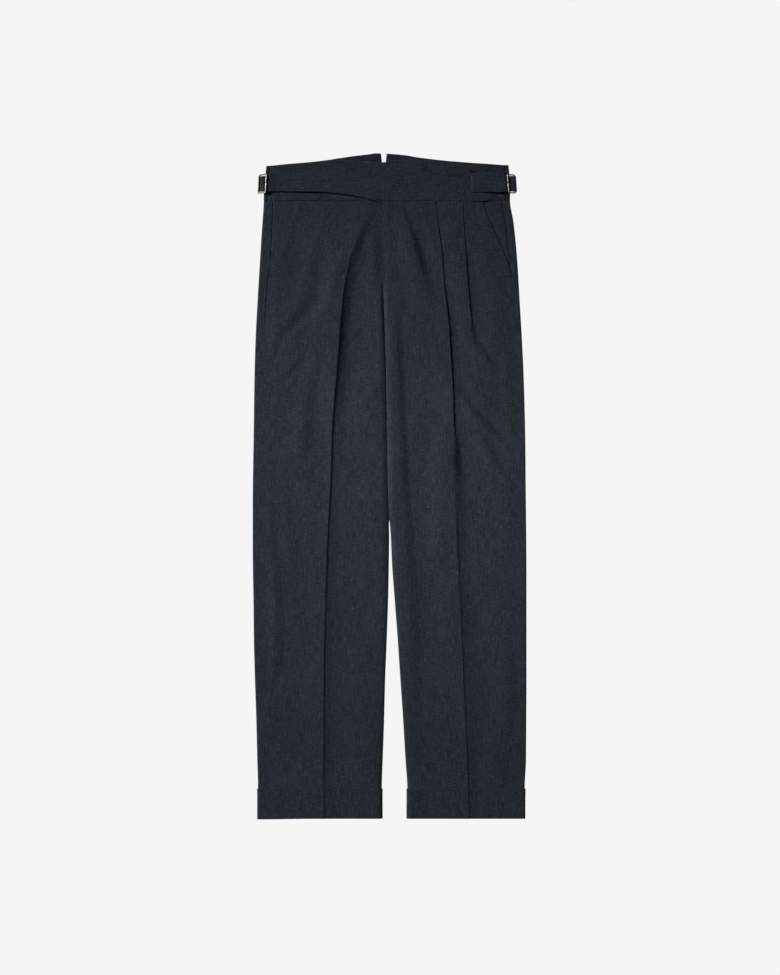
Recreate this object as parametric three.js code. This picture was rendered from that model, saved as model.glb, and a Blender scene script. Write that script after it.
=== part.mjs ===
// Gurkha trousers laid flat, front side up, as closed solids in millimetres.
// +Z is up from the surface they lie on, +Y runs to the waist, and x = 0 is midway between the side edges.
// Left and right are the wearer's, so the right leg is at -X.
import * as THREE from 'three';

// Cloth and stacking
const CLOTH = 1.0; // wall of one layer of trouser cloth
const BAND = 1.6; // wall of a waistband layer, two cloths with a stiffener
const GAP = 0.3; // clearance between layers and at seams
const LAYER = CLOTH + GAP; // rise from one cloth layer to the next
const BAND_LAYER = BAND + GAP;
const BACK_Z = CLOTH / 2; // middle of the back panels, which lie on the surface
const TURN = LAYER / 2; // radius of a pressed fold, to the middle of the wall

// Heights along the legs
const WAIST_Y = 470.6; // waist seam
const CROTCH_Y = 218;
const HEM_Y = -548.5;
const HEM_DIP = { from: 120, over: 100, deep: 1 }; // towards the right leg's outer corner, from x = 0
const TURN_UP = 49.5; // height of the turn-ups
const TURN_UP_TOP = HEM_Y + TURN_UP;
const TURN_UP_INSIDE = 1; // a turn-up's top row takes the leg's section this far down
const BACK_CLIMB = { above: 12, over: 11 }; // the back cloth climbs into the turn-up over this stretch
const LIP = 1.2; // wall of the fold that closes a turn-up at the hem
const POCKET_END_Y = 356;
const FLY_END_Y = 300;
const FLY_UNDERLAP = 7;
const UNDERLAP_EASE = 15; // height over which the underlap narrows to nothing

// Waistband
const NOTCH_Y = 505; // bottom of the centre-back notch
const NOTCH_HALF = 4.6; // half its width at the top
const BAND_WRAP = 6; // how far the back waistband turns over to the front
const SLOT = { x0: 133, x1: 141 }; // slot in the wrap, which the under waistband comes through
const SLOT_ROW = { top: 0.775, bottom: 0.245 }; // its ends, as shares of the band's height
const STRAP_TOP = 517.4;
const STRAP_BOTTOM = 488;
const STRAP_RISE = { x0: SLOT.x0 - 0.3, x1: SLOT.x1 - 2.5 }; // it comes up ahead of the wrap going down
const STRAP_NARROWS = { x0: 184, x1: 192.5 }; // into the left buckle
const WRAP_NARROWS = { x0: 196, x1: 202.5 }; // into the right buckle, as distances from x = 0
const UNDER_Z = BAND / 2 + BAND_LAYER;
const OVER_Z = UNDER_Z + BAND_LAYER;
const WRAP_TIP_X = -12.6; // where the wrap's free edge meets the fly

// Buckles, bent from wire
const WIRE = 1.3; // radius
const WIRE_SIDES = 8;
const CORNER = 3.2;
const CORNER_STEPS = 3;

// Outline of each leg at heights y: outer edge and inner edge, both as drawn from above.
// inset is how far the side seam lies inside the outer edge.
const RIGHT_LEG = [
  { y: 471, outer: -207.8, inner: -12.5, inset: 14.0 },
  { y: 439, outer: -209.7, inner: -11.9, inset: 15.4 },
  { y: 406, outer: -212.0, inner: -11.4, inset: 16.3 },
  { y: 373, outer: -214.0, inner: -10.9, inset: 16.8 },
  { y: 347, outer: -215.6, inner: -10.5, inset: 14.4 },
  { y: 307, outer: -218.0, inner: -9.9, inset: 12.9 },
  { y: 241, outer: -221.4, inner: -7.5, inset: 13.2 },
  { y: 175, outer: -223.2, inner: -6.1, inset: 13.2 },
  { y: 76, outer: -224.6, inner: -5.6, inset: 13.2 },
  { y: -23, outer: -226.0, inner: -2.6, inset: 13.2 },
  { y: -88, outer: -226.0, inner: -0.6, inset: 13.2 },
  { y: -122, outer: -225.9, inner: -1.1, inset: 13.2 },
  { y: -188, outer: -224.8, inner: -2.4, inset: 13.2 },
  { y: -254, outer: -224.1, inner: -4.7, inset: 13.2 },
  { y: -320, outer: -222.3, inner: -7.3, inset: 13.2 },
  { y: -386, outer: -220.1, inner: -9.0, inset: 13.2 },
  { y: -452, outer: -218.5, inner: -11.3, inset: 13.2 },
  { y: -499, outer: -217.3, inner: -12.8, inset: 13.2 },
  { y: -550, outer: -217.4, inner: -12.6, inset: 13.2 },
];
const LEFT_LEG = [
  { y: 471, outer: 198.8, inner: -12.2, inset: 13.4 },
  { y: 439, outer: 204.2, inner: -11.6, inset: 13.8 },
  { y: 406, outer: 207.9, inner: -11.1, inset: 13.8 },
  { y: 373, outer: 210.7, inner: -10.6, inset: 13.6 },
  { y: 347, outer: 212.5, inner: -10.2, inset: 12.2 },
  { y: 307, outer: 214.7, inner: -9.6, inset: 10.7 },
  { y: 241, outer: 218.6, inner: -7.2, inset: 10.7 },
  { y: 175, outer: 221.6, inner: -5.8, inset: 10.7 },
  { y: 76, outer: 224.1, inner: -5.3, inset: 10.7 },
  { y: -23, outer: 225.0, inner: -2.3, inset: 10.7 },
  { y: -88, outer: 225.7, inner: 2.2, inset: 10.7 },
  { y: -122, outer: 225.9, inner: 3.6, inset: 10.7 },
  { y: -188, outer: 226.0, inner: 8.4, inset: 10.7 },
  { y: -254, outer: 226.0, inner: 13.4, inset: 10.7 },
  { y: -320, outer: 226.0, inner: 17.8, inset: 10.7 },
  { y: -386, outer: 225.7, inner: 22.3, inset: 10.7 },
  { y: -452, outer: 225.2, inner: 26.2, inset: 10.7 },
  { y: -499, outer: 223.0, inner: 29.2, inset: 10.7 },
  { y: -550, outer: 222.8, inner: 29.0, inset: 10.7 },
];

// Slant pocket mouths, from the waist seam to the side seam
const RIGHT_POCKET = [
  { y: 471, x: -159.6 },
  { y: 447, x: -163.2 },
  { y: 424, x: -170.8 },
  { y: 394, x: -184.0 },
  { y: 372, x: -192.8 },
  { y: 353, x: -199.4 },
];
const LEFT_POCKET = [
  { y: 471, x: 153.6 },
  { y: 453, x: 159.0 },
  { y: 424, x: 171.2 },
  { y: 394, x: 184.4 },
  { y: 372, x: 193.6 },
  { y: 353, x: 199.2 },
];

// Pleats and creases. The cloth is high on one side of x and drops on the other, which faces
// outwards where face is 1. depth is how far the pleat folds back under itself, 0 where it is open;
// high and low are the heights of its two lips over the leg's level.
const RIGHT_INNER_CREASE = [
  { y: 471, x: -36.0, high: 0.0, low: 0.0 },
  { y: 446, x: -35.0, high: 0.1, low: -0.5 },
  { y: 424, x: -41.0, high: 0.5, low: -1.4 },
  { y: 397, x: -52.3, high: 0.8, low: -1.8 },
  { y: 355, x: -67.5, high: 1.1, low: -1.9 },
  { y: 325, x: -73.1, high: 1.2, low: -1.8 },
  { y: 268, x: -76.9, high: 1.3, low: -1.8 },
  { y: 212, x: -80.7, high: 1.3, low: -1.7 },
  { y: 155, x: -86.5, high: 1.3, low: -1.5 },
  { y: 98, x: -92.1, high: 1.3, low: -1.4 },
  { y: 10, x: -95.9, high: 1.2, low: -1.3 },
  { y: -84, x: -101.6, high: 1.2, low: -1.2 },
  { y: -179, x: -105.3, high: 1.1, low: -1.1 },
  { y: -293, x: -108.4, high: 1.0, low: -1.0 },
  { y: -405, x: -109.9, high: 1.0, low: -1.0 },
  { y: -493, x: -111.0, high: 0.9, low: -0.8 },
  { y: -550, x: -109.1, high: 0.8, low: -0.6 },
];
const RIGHT_FIRST_PLEAT = [
  { y: 471, x: -95.0, depth: 16, high: 0.4, low: -0.4 },
  { y: 430, x: -95.5, depth: 12, high: 0.4, low: -0.4 },
  { y: 390, x: -98.5, depth: 8, high: 0.4, low: -0.4 },
  { y: 350, x: -103.0, depth: 3, high: 0.4, low: -0.3 },
  { y: 318, x: -107.0, depth: 0, high: 0.2, low: 0.0 },
  { y: 270, x: -114.0, depth: 0, high: 0.0, low: 0.0 },
  { y: -200, x: -140.0, depth: 0, high: 0.0, low: 0.0 },
  { y: -550, x: -146.0, depth: 0, high: 0.0, low: 0.0 },
];
const RIGHT_SECOND_PLEAT = [
  { y: 471, x: -139.0, depth: 14, high: 0.4, low: -0.4 },
  { y: 430, x: -138.0, depth: 11, high: 0.4, low: -0.4 },
  { y: 390, x: -138.0, depth: 7, high: 0.4, low: -0.4 },
  { y: 350, x: -141.0, depth: 2, high: 0.4, low: -0.3 },
  { y: 325, x: -144.0, depth: 0, high: 0.2, low: 0.0 },
  { y: 270, x: -152.0, depth: 0, high: 0.0, low: 0.0 },
  { y: -200, x: -172.0, depth: 0, high: 0.0, low: 0.0 },
  { y: -550, x: -176.0, depth: 0, high: 0.0, low: 0.0 },
];
const LEFT_FIRST_PLEAT = [
  { y: 471, x: 75.4, depth: 16, high: 0.6, low: -0.6 },
  { y: 419, x: 82.2, depth: 14, high: 0.7, low: -0.8 },
  { y: 381, x: 87.8, depth: 11, high: 0.8, low: -1.0 },
  { y: 337, x: 91.6, depth: 8, high: 1.0, low: -1.2 },
  { y: 290, x: 96.8, depth: 3, high: 1.1, low: -1.4 },
  { y: 262, x: 99.6, depth: 0, high: 1.2, low: -1.5 },
  { y: 212, x: 103.0, depth: 0, high: 1.2, low: -1.6 },
  { y: 155, x: 106.1, depth: 0, high: 1.3, low: -1.6 },
  { y: 98, x: 107.6, depth: 0, high: 1.4, low: -1.7 },
  { y: 42, x: 113.2, depth: 0, high: 1.4, low: -1.8 },
  { y: -16, x: 112.9, depth: 0, high: 1.3, low: -1.6 },
  { y: -84, x: 112.9, depth: 0, high: 1.2, low: -1.4 },
  { y: -179, x: 118.1, depth: 0, high: 1.1, low: -1.2 },
  { y: -293, x: 121.9, depth: 0, high: 1.0, low: -1.1 },
  { y: -443, x: 129.0, depth: 0, high: 0.9, low: -1.0 },
  { y: -550, x: 131.4, depth: 0, high: 0.8, low: -0.6 },
];
const LEFT_SECOND_PLEAT = [
  { y: 471, x: 121.2, depth: 14, high: 0.6, low: -0.6 },
  { y: 401, x: 124.9, depth: 12, high: 0.7, low: -0.8 },
  { y: 363, x: 127.5, depth: 9, high: 0.8, low: -1.0 },
  { y: 314, x: 132.2, depth: 5, high: 0.9, low: -1.2 },
  { y: 280, x: 135.8, depth: 2, high: 0.9, low: -1.3 },
  { y: 258, x: 139.0, depth: 0, high: 0.8, low: -1.3 },
  { y: 219, x: 159.9, depth: 0, high: 0.5, low: -0.9 },
  { y: 190, x: 172.0, depth: 0, high: 0.2, low: -0.3 },
  { y: 140, x: 176.0, depth: 0, high: 0.0, low: 0.0 },
  { y: -550, x: 178.0, depth: 0, high: 0.0, low: 0.0 },
];

// Soft folds that the cloth falls into between the pleats: a trough of this half width and depth
const RIGHT_FOLDS = [
  [
    { y: 440, x: -114, wide: 9, deep: 0.0 },
    { y: 400, x: -112, wide: 9, deep: 0.8 },
    { y: 360, x: -119, wide: 10, deep: 1.3 },
    { y: 325, x: -127, wide: 11, deep: 1.5 },
    { y: 290, x: -146, wide: 12, deep: 1.5 },
    { y: 260, x: -175, wide: 14, deep: 1.3 },
    { y: 225, x: -194, wide: 12, deep: 0.9 },
    { y: 190, x: -203, wide: 9, deep: 0.0 },
  ],
  [
    { y: 280, x: -106, wide: 9, deep: 0.0 },
    { y: 235, x: -112, wide: 10, deep: 1.0 },
    { y: 185, x: -124, wide: 11, deep: 1.4 },
    { y: 130, x: -130, wide: 11, deep: 1.1 },
    { y: 70, x: -132, wide: 10, deep: 0.0 },
  ],
];
const LEFT_FOLDS = [
  [
    { y: 466, x: 22, wide: 7, deep: 0.3 },
    { y: 435, x: 31, wide: 8, deep: 1.0 },
    { y: 410, x: 42, wide: 9, deep: 1.6 },
    { y: 375, x: 51, wide: 10, deep: 1.6 },
    { y: 345, x: 58, wide: 10, deep: 0.9 },
    { y: 315, x: 64, wide: 9, deep: 0.0 },
  ],
  [
    { y: 300, x: -2, wide: 7, deep: 0.0 },
    { y: 250, x: 12, wide: 9, deep: 1.2 },
    { y: 200, x: 19, wide: 11, deep: 1.7 },
    { y: 98, x: 25, wide: 12, deep: 1.8 },
    { y: -16, x: 31, wide: 14, deep: 1.7 },
    { y: -179, x: 40, wide: 16, deep: 1.4 },
    { y: -293, x: 44, wide: 16, deep: 1.2 },
    { y: -400, x: 48, wide: 16, deep: 0.9 },
    { y: -480, x: 45, wide: 14, deep: 0.0 },
  ],
  [
    { y: 165, x: 118, wide: 7, deep: 0.0 },
    { y: 132, x: 137, wide: 9, deep: 1.3 },
    { y: 101, x: 164, wide: 11, deep: 1.4 },
    { y: 72, x: 198, wide: 10, deep: 0.0 },
  ],
];

// Height of the front cloth over the surface, and of the outer edge where the back panel turns over
const LEVELS = [
  { y: 471, level: 3.1, edge: 2.6 },
  { y: 440, level: 3.4, edge: 3.0 },
  { y: 400, level: 3.8, edge: 3.4 },
  { y: 350, level: 3.9, edge: 3.6 },
  { y: -470, level: 3.9, edge: 3.6 },
  { y: -500, level: 4.9, edge: 4.7 },
  { y: -550, level: 4.9, edge: 4.7 },
];

// Waistband outlines, at places x across it
const BACK_TOP = [
  { x: -208, y: 528.8 },
  { x: -172, y: 532.0 },
  { x: -134, y: 535.2 },
  { x: -105, y: 538.5 },
  { x: -84, y: 541.7 },
  { x: -61, y: 545.1 },
  { x: -34, y: 548.3 },
  { x: -22, y: 550.0 },
  { x: -14, y: 549.5 },
  { x: -5, y: 549.3 },
  { x: 11, y: 548.2 },
  { x: 27, y: 546.6 },
  { x: 44, y: 543.6 },
  { x: 84, y: 538.6 },
  { x: 121, y: 535.3 },
  { x: 166, y: 532.2 },
  { x: 199, y: 530.1 },
];
const FRONT_TOP = [
  { x: -208, y: 528.0 },
  { x: -172, y: 531.3 },
  { x: -134, y: 534.5 },
  { x: -105, y: 537.4 },
  { x: -84, y: 538.6 },
  { x: -62, y: 537.8 },
  { x: -26, y: 535.4 },
  { x: -9, y: 534.7 },
  { x: 1, y: 537.3 },
  { x: 17, y: 538.6 },
  { x: 39, y: 540.6 },
  { x: 54, y: 541.0 },
  { x: 84, y: 538.0 },
  { x: 121, y: 534.7 },
  { x: 166, y: 531.6 },
  { x: 199, y: 529.4 },
];
const WRAP_TOP = [
  { x: -218, y: 514.6 },
  { x: -202, y: 516.0 },
  { x: -164, y: 515.4 },
  { x: -128, y: 516.6 },
  { x: -98, y: 519.9 },
  { x: -74, y: 525.1 },
  { x: -49, y: 530.4 },
  { x: -26, y: 534.6 },
];
const WRAP_BOTTOM = [
  { x: -218, y: 486.5 },
  { x: -202, y: 484.6 },
  { x: -128, y: 484.3 },
  { x: -111, y: 483.8 },
  { x: -80, y: 481.2 },
  { x: -65, y: 479.5 },
  { x: -50, y: 477.0 },
  { x: -34, y: 473.8 },
  { x: -20, y: 469.0 },
  { x: -12, y: 464.2 },
];
const BAND_SIDES = [
  { y: 545, right: -202.6, left: 195.6 },
  { y: 528, right: -203.6, left: 196.6 },
  { y: 516, right: -205.0, left: 197.8 },
  { y: 485, right: -207.6, left: 199.2 },
  { y: 470, right: -207.8, left: 198.8 },
];

// Buckle corners, from above, with the height of each
const RIGHT_BUCKLE = [
  { x: -202.9, y: 514.0, z: 7.0 },
  { x: -204.2, y: 484.5, z: 7.0 },
  { x: -216.6, y: 484.2, z: 4.2 },
  { x: -215.4, y: 513.2, z: 4.2 },
];
const LEFT_BUCKLE = [
  { x: 194.5, y: 513.8, z: 7.1 },
  { x: 197.0, y: 484.1, z: 7.1 },
  { x: 207.5, y: 484.1, z: 3.3 },
  { x: 205.6, y: 513.8, z: 3.3 },
];

// How sections are divided
const ROWS = [
  470.3, 450, 428, 405, 381, 357, 349, 335, 314, 296, 278, 257, 236, 218, 200, 176, 146, 112, 76, 36,
  -16, -84, -150, -220, -293, -370, -440, -484, -493, -502, HEM_Y + LIP + 2 * GAP,
];
const FILL = { [-1]: [4, 1, 2, 1], 1: [6, 2, 2] }; // points up to each pleat or crease, then to the edge
const ARC_STEPS = 4;
const FACING_ROWS = [470.3, 450, 428, 405, 381, 358];
const FACING_COLUMNS = [0, 0.5, 1];
const TURN_UP_ROWS = [
  { y: TURN_UP_TOP },
  { y: TURN_UP_TOP - TURN_UP / 2 },
  { y: HEM_Y + LIP + GAP },
  { y: HEM_Y + LIP, lip: true },
  { y: HEM_Y, lip: true, hem: true },
];
const BACK_BAND_ROWS = [0, 0.25, 0.55, 0.8, 1];
const BACK_BAND_COLUMNS = [0, 0.12, 0.3, 0.5, 0.7, 0.88];
const BAND_ROWS = [0, 0.3, 0.65, 1];
const UNDER_X = [
  -185, -160, -134, -105, -84, -62, -40, -26, -14, -4, 6, 18, 32, 46, 60, 95, 132.7, 134.5, 136.5,
  138.5, 150, 170, 184, 188, 192.5, 198.5, 201.5,
];
const STRAP_BEND = [-15, 30, 65, 90, 125, 155, 180];
const STRAP_RETURN = 3.4;
const STRAP_EASE = { x0: -10, x1: 60 };
const STRAP_IN_BUCKLE = { top: 511.9, bottom: 486.1 };
const WRAP_ROWS = [1, 0.89, SLOT_ROW.top, 0.5, SLOT_ROW.bottom, 0.12, 0];
const WRAP_X = [
  -217, -214, -211, -207.5, -204, -202, -199, -196, -180, -155, -128, -111, -95, -80, -65, -50, -38,
  -28, -20, -15, -12.8, -12.4, -4, 1, 10, 25, 40, 60, 85, 110, 125, SLOT.x0, 137, SLOT.x1, 155, 175,
];
const WRAP_DESCENT = [
  { x: -217, z: 1.7 },
  { x: -214, z: 2.1 },
  { x: -211, z: 3.0 },
  { x: -207.5, z: 4.3 },
  { x: -204, z: OVER_Z },
  { x: -200, z: OVER_Z },
];
const JOINT = [
  { share: 0.46, radius: WIRE },
  { share: 0.48, radius: 0.8 },
  { share: 0.5, radius: WIRE },
];
const CURL = 4.5; // reach of the roll down to the inside leg seam
const CURL_EASE = { above: 20, over: 30 }; // the roll comes in over this stretch round the crotch
const CURL_POINTS = [
  { share: 0, down: 1 },
  { share: 0.13, down: 0.5 },
  { share: 0.42, down: 0.16 },
  { share: 1, down: 0 },
];
const FACING_UNDER = 9; // how far a pocket facing reaches under the front
const FLY_FLAT = 3; // the front lies down this near the fly, and comes up over the reach
const FLY_REACH = 16;
const FLY_LAYERS = { [-1]: 1, 1: 2 }; // layers up from the back cloth, at the fly
const EDGE_REACH = 20;
const POCKET_REACH = 9;
const SEAM_FLAT = 2; // the cloth is flat this near a seam
const MITRE_LIMIT = 0.5; // least share of a wall kept at a sharp corner
const NOTCH_X = -9.5;
const BAND_REACH = 200;

const COLOURS = { cloth: 0x262b33, inside: 0x20242c, brass: 0xbfae8c };
const cloth = new THREE.MeshStandardMaterial({ color: COLOURS.cloth, roughness: 0.92, metalness: 0 });
const inside = new THREE.MeshStandardMaterial({ color: COLOURS.inside, roughness: 0.95, metalness: 0 });
const brass = new THREE.MeshStandardMaterial({ color: COLOURS.brass, roughness: 0.3, metalness: 1 });

const lerp = (a, b, t) => a + (b - a) * t;
const clamp = (v, lo, hi) => Math.min(hi, Math.max(lo, v));
const smooth = (t) => {
  const u = clamp(t, 0, 1);
  return u * u * (3 - 2 * u);
};

// A smooth curve through one column of a table, read at the key column, that never overshoots a row
function curve(table, column, key = 'y') {
  const rows = [...table].sort((a, b) => a[key] - b[key]);
  const rise = (a, b) => (b[column] - a[column]) / (b[key] - a[key]);
  const slope = rows.map((row, i) => {
    if (i === 0 || i === rows.length - 1) return 0;
    const before = rise(rows[i - 1], row);
    const after = rise(row, rows[i + 1]);
    return before * after > 0 ? (2 * before * after) / (before + after) : 0;
  });
  return (at) => {
    if (at <= rows[0][key]) return rows[0][column];
    const last = rows.length - 1;
    if (at >= rows[last][key]) return rows[last][column];
    const i = rows.findIndex((row, n) => n < last && at < rows[n + 1][key]);
    const span = rows[i + 1][key] - rows[i][key];
    const t = (at - rows[i][key]) / span;
    const flat = t * t * (3 - 2 * t);
    const leaving = t * (1 - t) * (1 - t) * span * slope[i];
    const arriving = t * t * (1 - t) * span * slope[i + 1];
    return lerp(rows[i][column], rows[i + 1][column], flat) + leaving - arriving;
  };
}

// Points of a section moved square to it, in the xz plane, by a distance to its left
function moved(points, distance, closed = false) {
  const n = points.length;
  const along = (a, b) => {
    const dx = b[0] - a[0];
    const dz = b[2] - a[2];
    const size = Math.hypot(dx, dz);
    return [dx / size, dz / size];
  };
  return points.map((p, i) => {
    const before = closed || i > 0 ? along(points[(i + n - 1) % n], p) : null;
    const after = closed || i < n - 1 ? along(p, points[(i + 1) % n]) : null;
    const [ax, az] = before ?? after;
    const [bx, bz] = after ?? before;
    const size = Math.hypot(ax + bx, az + bz);
    const tx = (ax + bx) / size;
    const tz = (az + bz) / size;
    const mitre = distance / Math.max(MITRE_LIMIT, size / 2);
    return [p[0] - tz * mitre, p[1], p[2] + tx * mitre];
  });
}

// A closed solid between two grids of points, with walls round its border and round cut cells
function shell(outer, inner, closed = false, present = () => true) {
  const m = outer.length;
  const n = outer[0].length;
  const positions = [...outer.flat(), ...inner.flat()].flat();
  const out = (i, j) => i * n + (j % n);
  const into = (i, j) => m * n + out(i, j);
  const columns = closed ? n : n - 1;
  const has = (i, j) => {
    if (i < 0 || i >= m - 1) return false;
    if (!closed && (j < 0 || j >= columns)) return false;
    return present(i, (j + columns) % columns);
  };
  const index = [];
  const quad = (a, b, c, d) => index.push(a, b, c, a, c, d);
  for (let i = 0; i < m - 1; i += 1) {
    for (let j = 0; j < columns; j += 1) {
      if (!has(i, j)) continue;
      quad(out(i, j), out(i + 1, j), out(i + 1, j + 1), out(i, j + 1));
      quad(into(i, j), into(i, j + 1), into(i + 1, j + 1), into(i + 1, j));
      if (!has(i - 1, j)) quad(out(i, j + 1), into(i, j + 1), into(i, j), out(i, j));
      if (!has(i + 1, j)) quad(out(i + 1, j), into(i + 1, j), into(i + 1, j + 1), out(i + 1, j + 1));
      if (!has(i, j - 1)) quad(out(i, j), into(i, j), into(i + 1, j), out(i + 1, j));
      if (!has(i, j + 1)) quad(out(i + 1, j + 1), into(i + 1, j + 1), into(i, j + 1), out(i, j + 1));
    }
  }
  const geometry = new THREE.BufferGeometry();
  geometry.setAttribute('position', new THREE.Float32BufferAttribute(positions, 3));
  geometry.setIndex(index);
  return geometry;
}

// Cloth of an even wall through rows of points, which run from -X to +X and from the waist down
function sheet(rows, wall, present) {
  const upper = rows.map((row) => moved(row, wall / 2));
  const lower = rows.map((row) => moved(row, -wall / 2));
  return shell(upper, lower, false, present);
}

const leg = (side) => (side < 0 ? RIGHT_LEG : LEFT_LEG);
const SIDES = [-1, 1];
const bySide = (make) => Object.fromEntries(SIDES.map((side) => [side, make(side)]));
const outerX = bySide((side) => curve(leg(side), 'outer'));
const innerX = bySide((side) => curve(leg(side), 'inner'));
const inset = bySide((side) => curve(leg(side), 'inset'));
const pocketX = bySide((side) => curve(side < 0 ? RIGHT_POCKET : LEFT_POCKET, 'x'));
const levelAt = curve(LEVELS, 'level');
const edgeAt = curve(LEVELS, 'edge');
const seamX = bySide((side) => (y) => outerX[side](y) - side * inset[side](y));

// Middle of the back cloth, which climbs into the turn-up
const backZ = (y) => BACK_Z + LAYER * smooth((TURN_UP_TOP + BACK_CLIMB.above - y) / BACK_CLIMB.over);

const hemDrop = (side, x) => (side < 0 ? HEM_DIP.deep * smooth((-x - HEM_DIP.from) / HEM_DIP.over) : 0);

function guide(table, face) {
  const columns = ['x', 'depth', 'high', 'low'].filter((name) => name in table[0]);
  const read = Object.fromEntries(columns.map((name) => [name, curve(table, name)]));
  return { face, depth: () => 0, ...read, folds: 'depth' in table[0] };
}
const GUIDES = {
  [-1]: [
    guide(RIGHT_INNER_CREASE, -1),
    guide(RIGHT_FIRST_PLEAT, 1),
    guide(RIGHT_SECOND_PLEAT, 1),
  ],
  1: [guide(LEFT_FIRST_PLEAT, 1), guide(LEFT_SECOND_PLEAT, 1)],
};
const FOLDS = bySide((side) => (side < 0 ? RIGHT_FOLDS : LEFT_FOLDS).map((table) => ({
  x: curve(table, 'x'),
  wide: curve(table, 'wide'),
  deep: curve(table, 'deep'),
  from: table[0].y,
  to: table[table.length - 1].y,
})));

// Widths over which the cloth settles on the high side and the low side of a pleat or crease
const HIGH_REACH = 26;
const LOW_REACH = 22;
const PLEAT_MARGIN = 3;
const FOLDED = 2.5; // a pleat shallower than this lies open
const STEP = 2.4; // width of the open step below a pleat's or crease's edge

// Lips of a pleat where it is folded: three layers, the lowest just over the back cloth
const foldedHigh = (y) => backZ(y) + 3 * LAYER;
const settle = (t) => 1 - smooth(t);

// Height of the middle of the front cloth at a place, read on the top layer of a pleat
function frontZ(side, x, y) {
  const level = levelAt(y);
  let z = level;
  for (const g of GUIDES[side]) {
    const d = (x - g.x(y)) * side * g.face; // positive on the low side
    const depth = g.depth(y);
    const share = clamp(depth / FOLDED, 0, 1);
    const high = lerp(g.high(y), foldedHigh(y) - level, share);
    const low = lerp(g.low(y), foldedHigh(y) - 2 * LAYER - level, share);
    if (d <= 0) z += high * settle((-d - depth - PLEAT_MARGIN * share) / HIGH_REACH);
    else if (d < STEP) z += lerp(high, low, d / STEP);
    else z += low * settle((d - STEP) / LOW_REACH);
  }
  for (const f of FOLDS[side]) {
    if (y > f.from || y < f.to) continue;
    const t = (x - f.x(y)) / f.wide(y);
    z -= f.deep(y) * Math.exp(-t * t);
  }
  const fromFly = (x - innerX[side](y)) * side;
  const flyZ = backZ(y) + FLY_LAYERS[side] * LAYER;
  const flyShare = smooth((y - CROTCH_Y) / (FLY_END_Y - CROTCH_Y));
  z = lerp(z, flyZ, flyShare * settle((fromFly - FLY_FLAT) / FLY_REACH));
  const fromSeam = (seamX[side](y) - x) * side;
  const pocket = y > POCKET_END_Y;
  const facing = pocket ? (seamX[side](y) - pocketX[side](y)) * side + FACING_UNDER : 0;
  const edge = edgeAt(y) + (pocket ? LAYER : 0);
  const reach = pocket ? POCKET_REACH : EDGE_REACH;
  z = lerp(z, edge, settle((fromSeam - facing - SEAM_FLAT) / reach));
  return Math.max(z, backZ(y) + LAYER);
}

// Points of a pleat, as offsets outwards from its edge. Open, they are open mm away. Folded, they are
// over times its depth and turn times the fold's radius away, and down radii below the top layer.
const FOLD_POINTS = [
  { open: -15, over: -1, turn: -5, down: 0 },
  { open: -5, over: 0, turn: -1, down: 0 },
  { open: -1.2, over: 0, turn: 0, down: 1 },
  { open: 0, over: 0, turn: -1, down: 2 },
  { open: 1.2, over: -1, turn: 1, down: 2 },
  { open: STEP, over: -1, turn: 0, down: 3 },
  { open: 5, over: -1, turn: 1, down: 4 },
  { open: 12, over: 0, turn: 3, down: 4 },
];
const CREASE_OFFSETS = [-6, -0.8, STEP, 9];

function guidePoints(side, g, y) {
  const edge = g.x(y);
  const outwards = side * g.face;
  if (!g.folds) {
    const xs = CREASE_OFFSETS.map((offset) => edge + outwards * offset);
    return (g.face < 0 ? xs.reverse() : xs).map((x) => [x, y, frontZ(side, x, y)]);
  }
  const depth = g.depth(y);
  return FOLD_POINTS.map((p) => {
    if (depth < FOLDED) {
      const x = edge + outwards * p.open;
      return [x, y, frontZ(side, x, y)];
    }
    const x = edge + outwards * (p.over * depth + p.turn * TURN);
    return [x, y, foldedHigh(y) - p.down * TURN];
  });
}

const frontInner = (side, y) => {
  const underlap = side < 0 ? FLY_UNDERLAP * smooth((y - FLY_END_Y) / UNDERLAP_EASE) : 0;
  return innerX[side](y) + underlap;
};
const frontOuter = (side, y) => {
  if (y > POCKET_END_Y) return pocketX[side](y);
  return seamX[side](y) - side * GAP;
};

// One section of a front panel, from the inner edge outwards
function frontSection(side, y) {
  const inner = frontInner(side, y);
  const outer = frontOuter(side, y);
  const curl = smooth((CROTCH_Y + CURL_EASE.above - y) / CURL_EASE.over);
  const half = CLOTH / 2;
  const rollTop = frontZ(side, inner + side * (CURL + half), y);
  const seamZ = backZ(y) + half + GAP;
  const points = CURL_POINTS.map((p) => {
    const flatX = inner + side * CURL * p.share;
    const flatZ = frontZ(side, flatX, y);
    return [flatX + side * half * curl, y, lerp(flatZ, lerp(rollTop, seamZ, p.down), curl)];
  });
  const groups = GUIDES[side].map((g) => guidePoints(side, g, y));
  const overFacing = outer - side * (FACING_UNDER + 1);
  groups.push([overFacing, outer].map((x) => [x, y, frontZ(side, x, y)]));
  groups.forEach((group, n) => {
    const from = points[points.length - 1][0];
    const to = group[0][0];
    for (let k = 1; k <= FILL[side][n]; k += 1) {
      const x = lerp(from, to, k / (FILL[side][n] + 1));
      points.push([x, y, frontZ(side, x, y)]);
    }
    points.push(...group);
  });
  return points;
}

// Points of a flat layer that turns over a side edge to lie on itself
function turnedOver(side, y, inner, outer, end, lowZ, highZ, wall) {
  const radius = (highZ - lowZ) / 2;
  const centre = outer - side * (radius + wall / 2);
  const points = [];
  for (let k = 0; k <= ARC_STEPS; k += 1) {
    const a = (Math.PI * k) / ARC_STEPS;
    points.push([centre + side * radius * Math.sin(a), y, lowZ + radius * (1 - Math.cos(a))]);
  }
  const flat = inner.map((x) => [x, y, lowZ]);
  return [...flat, ...points, [end, y, highZ]];
}

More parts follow.
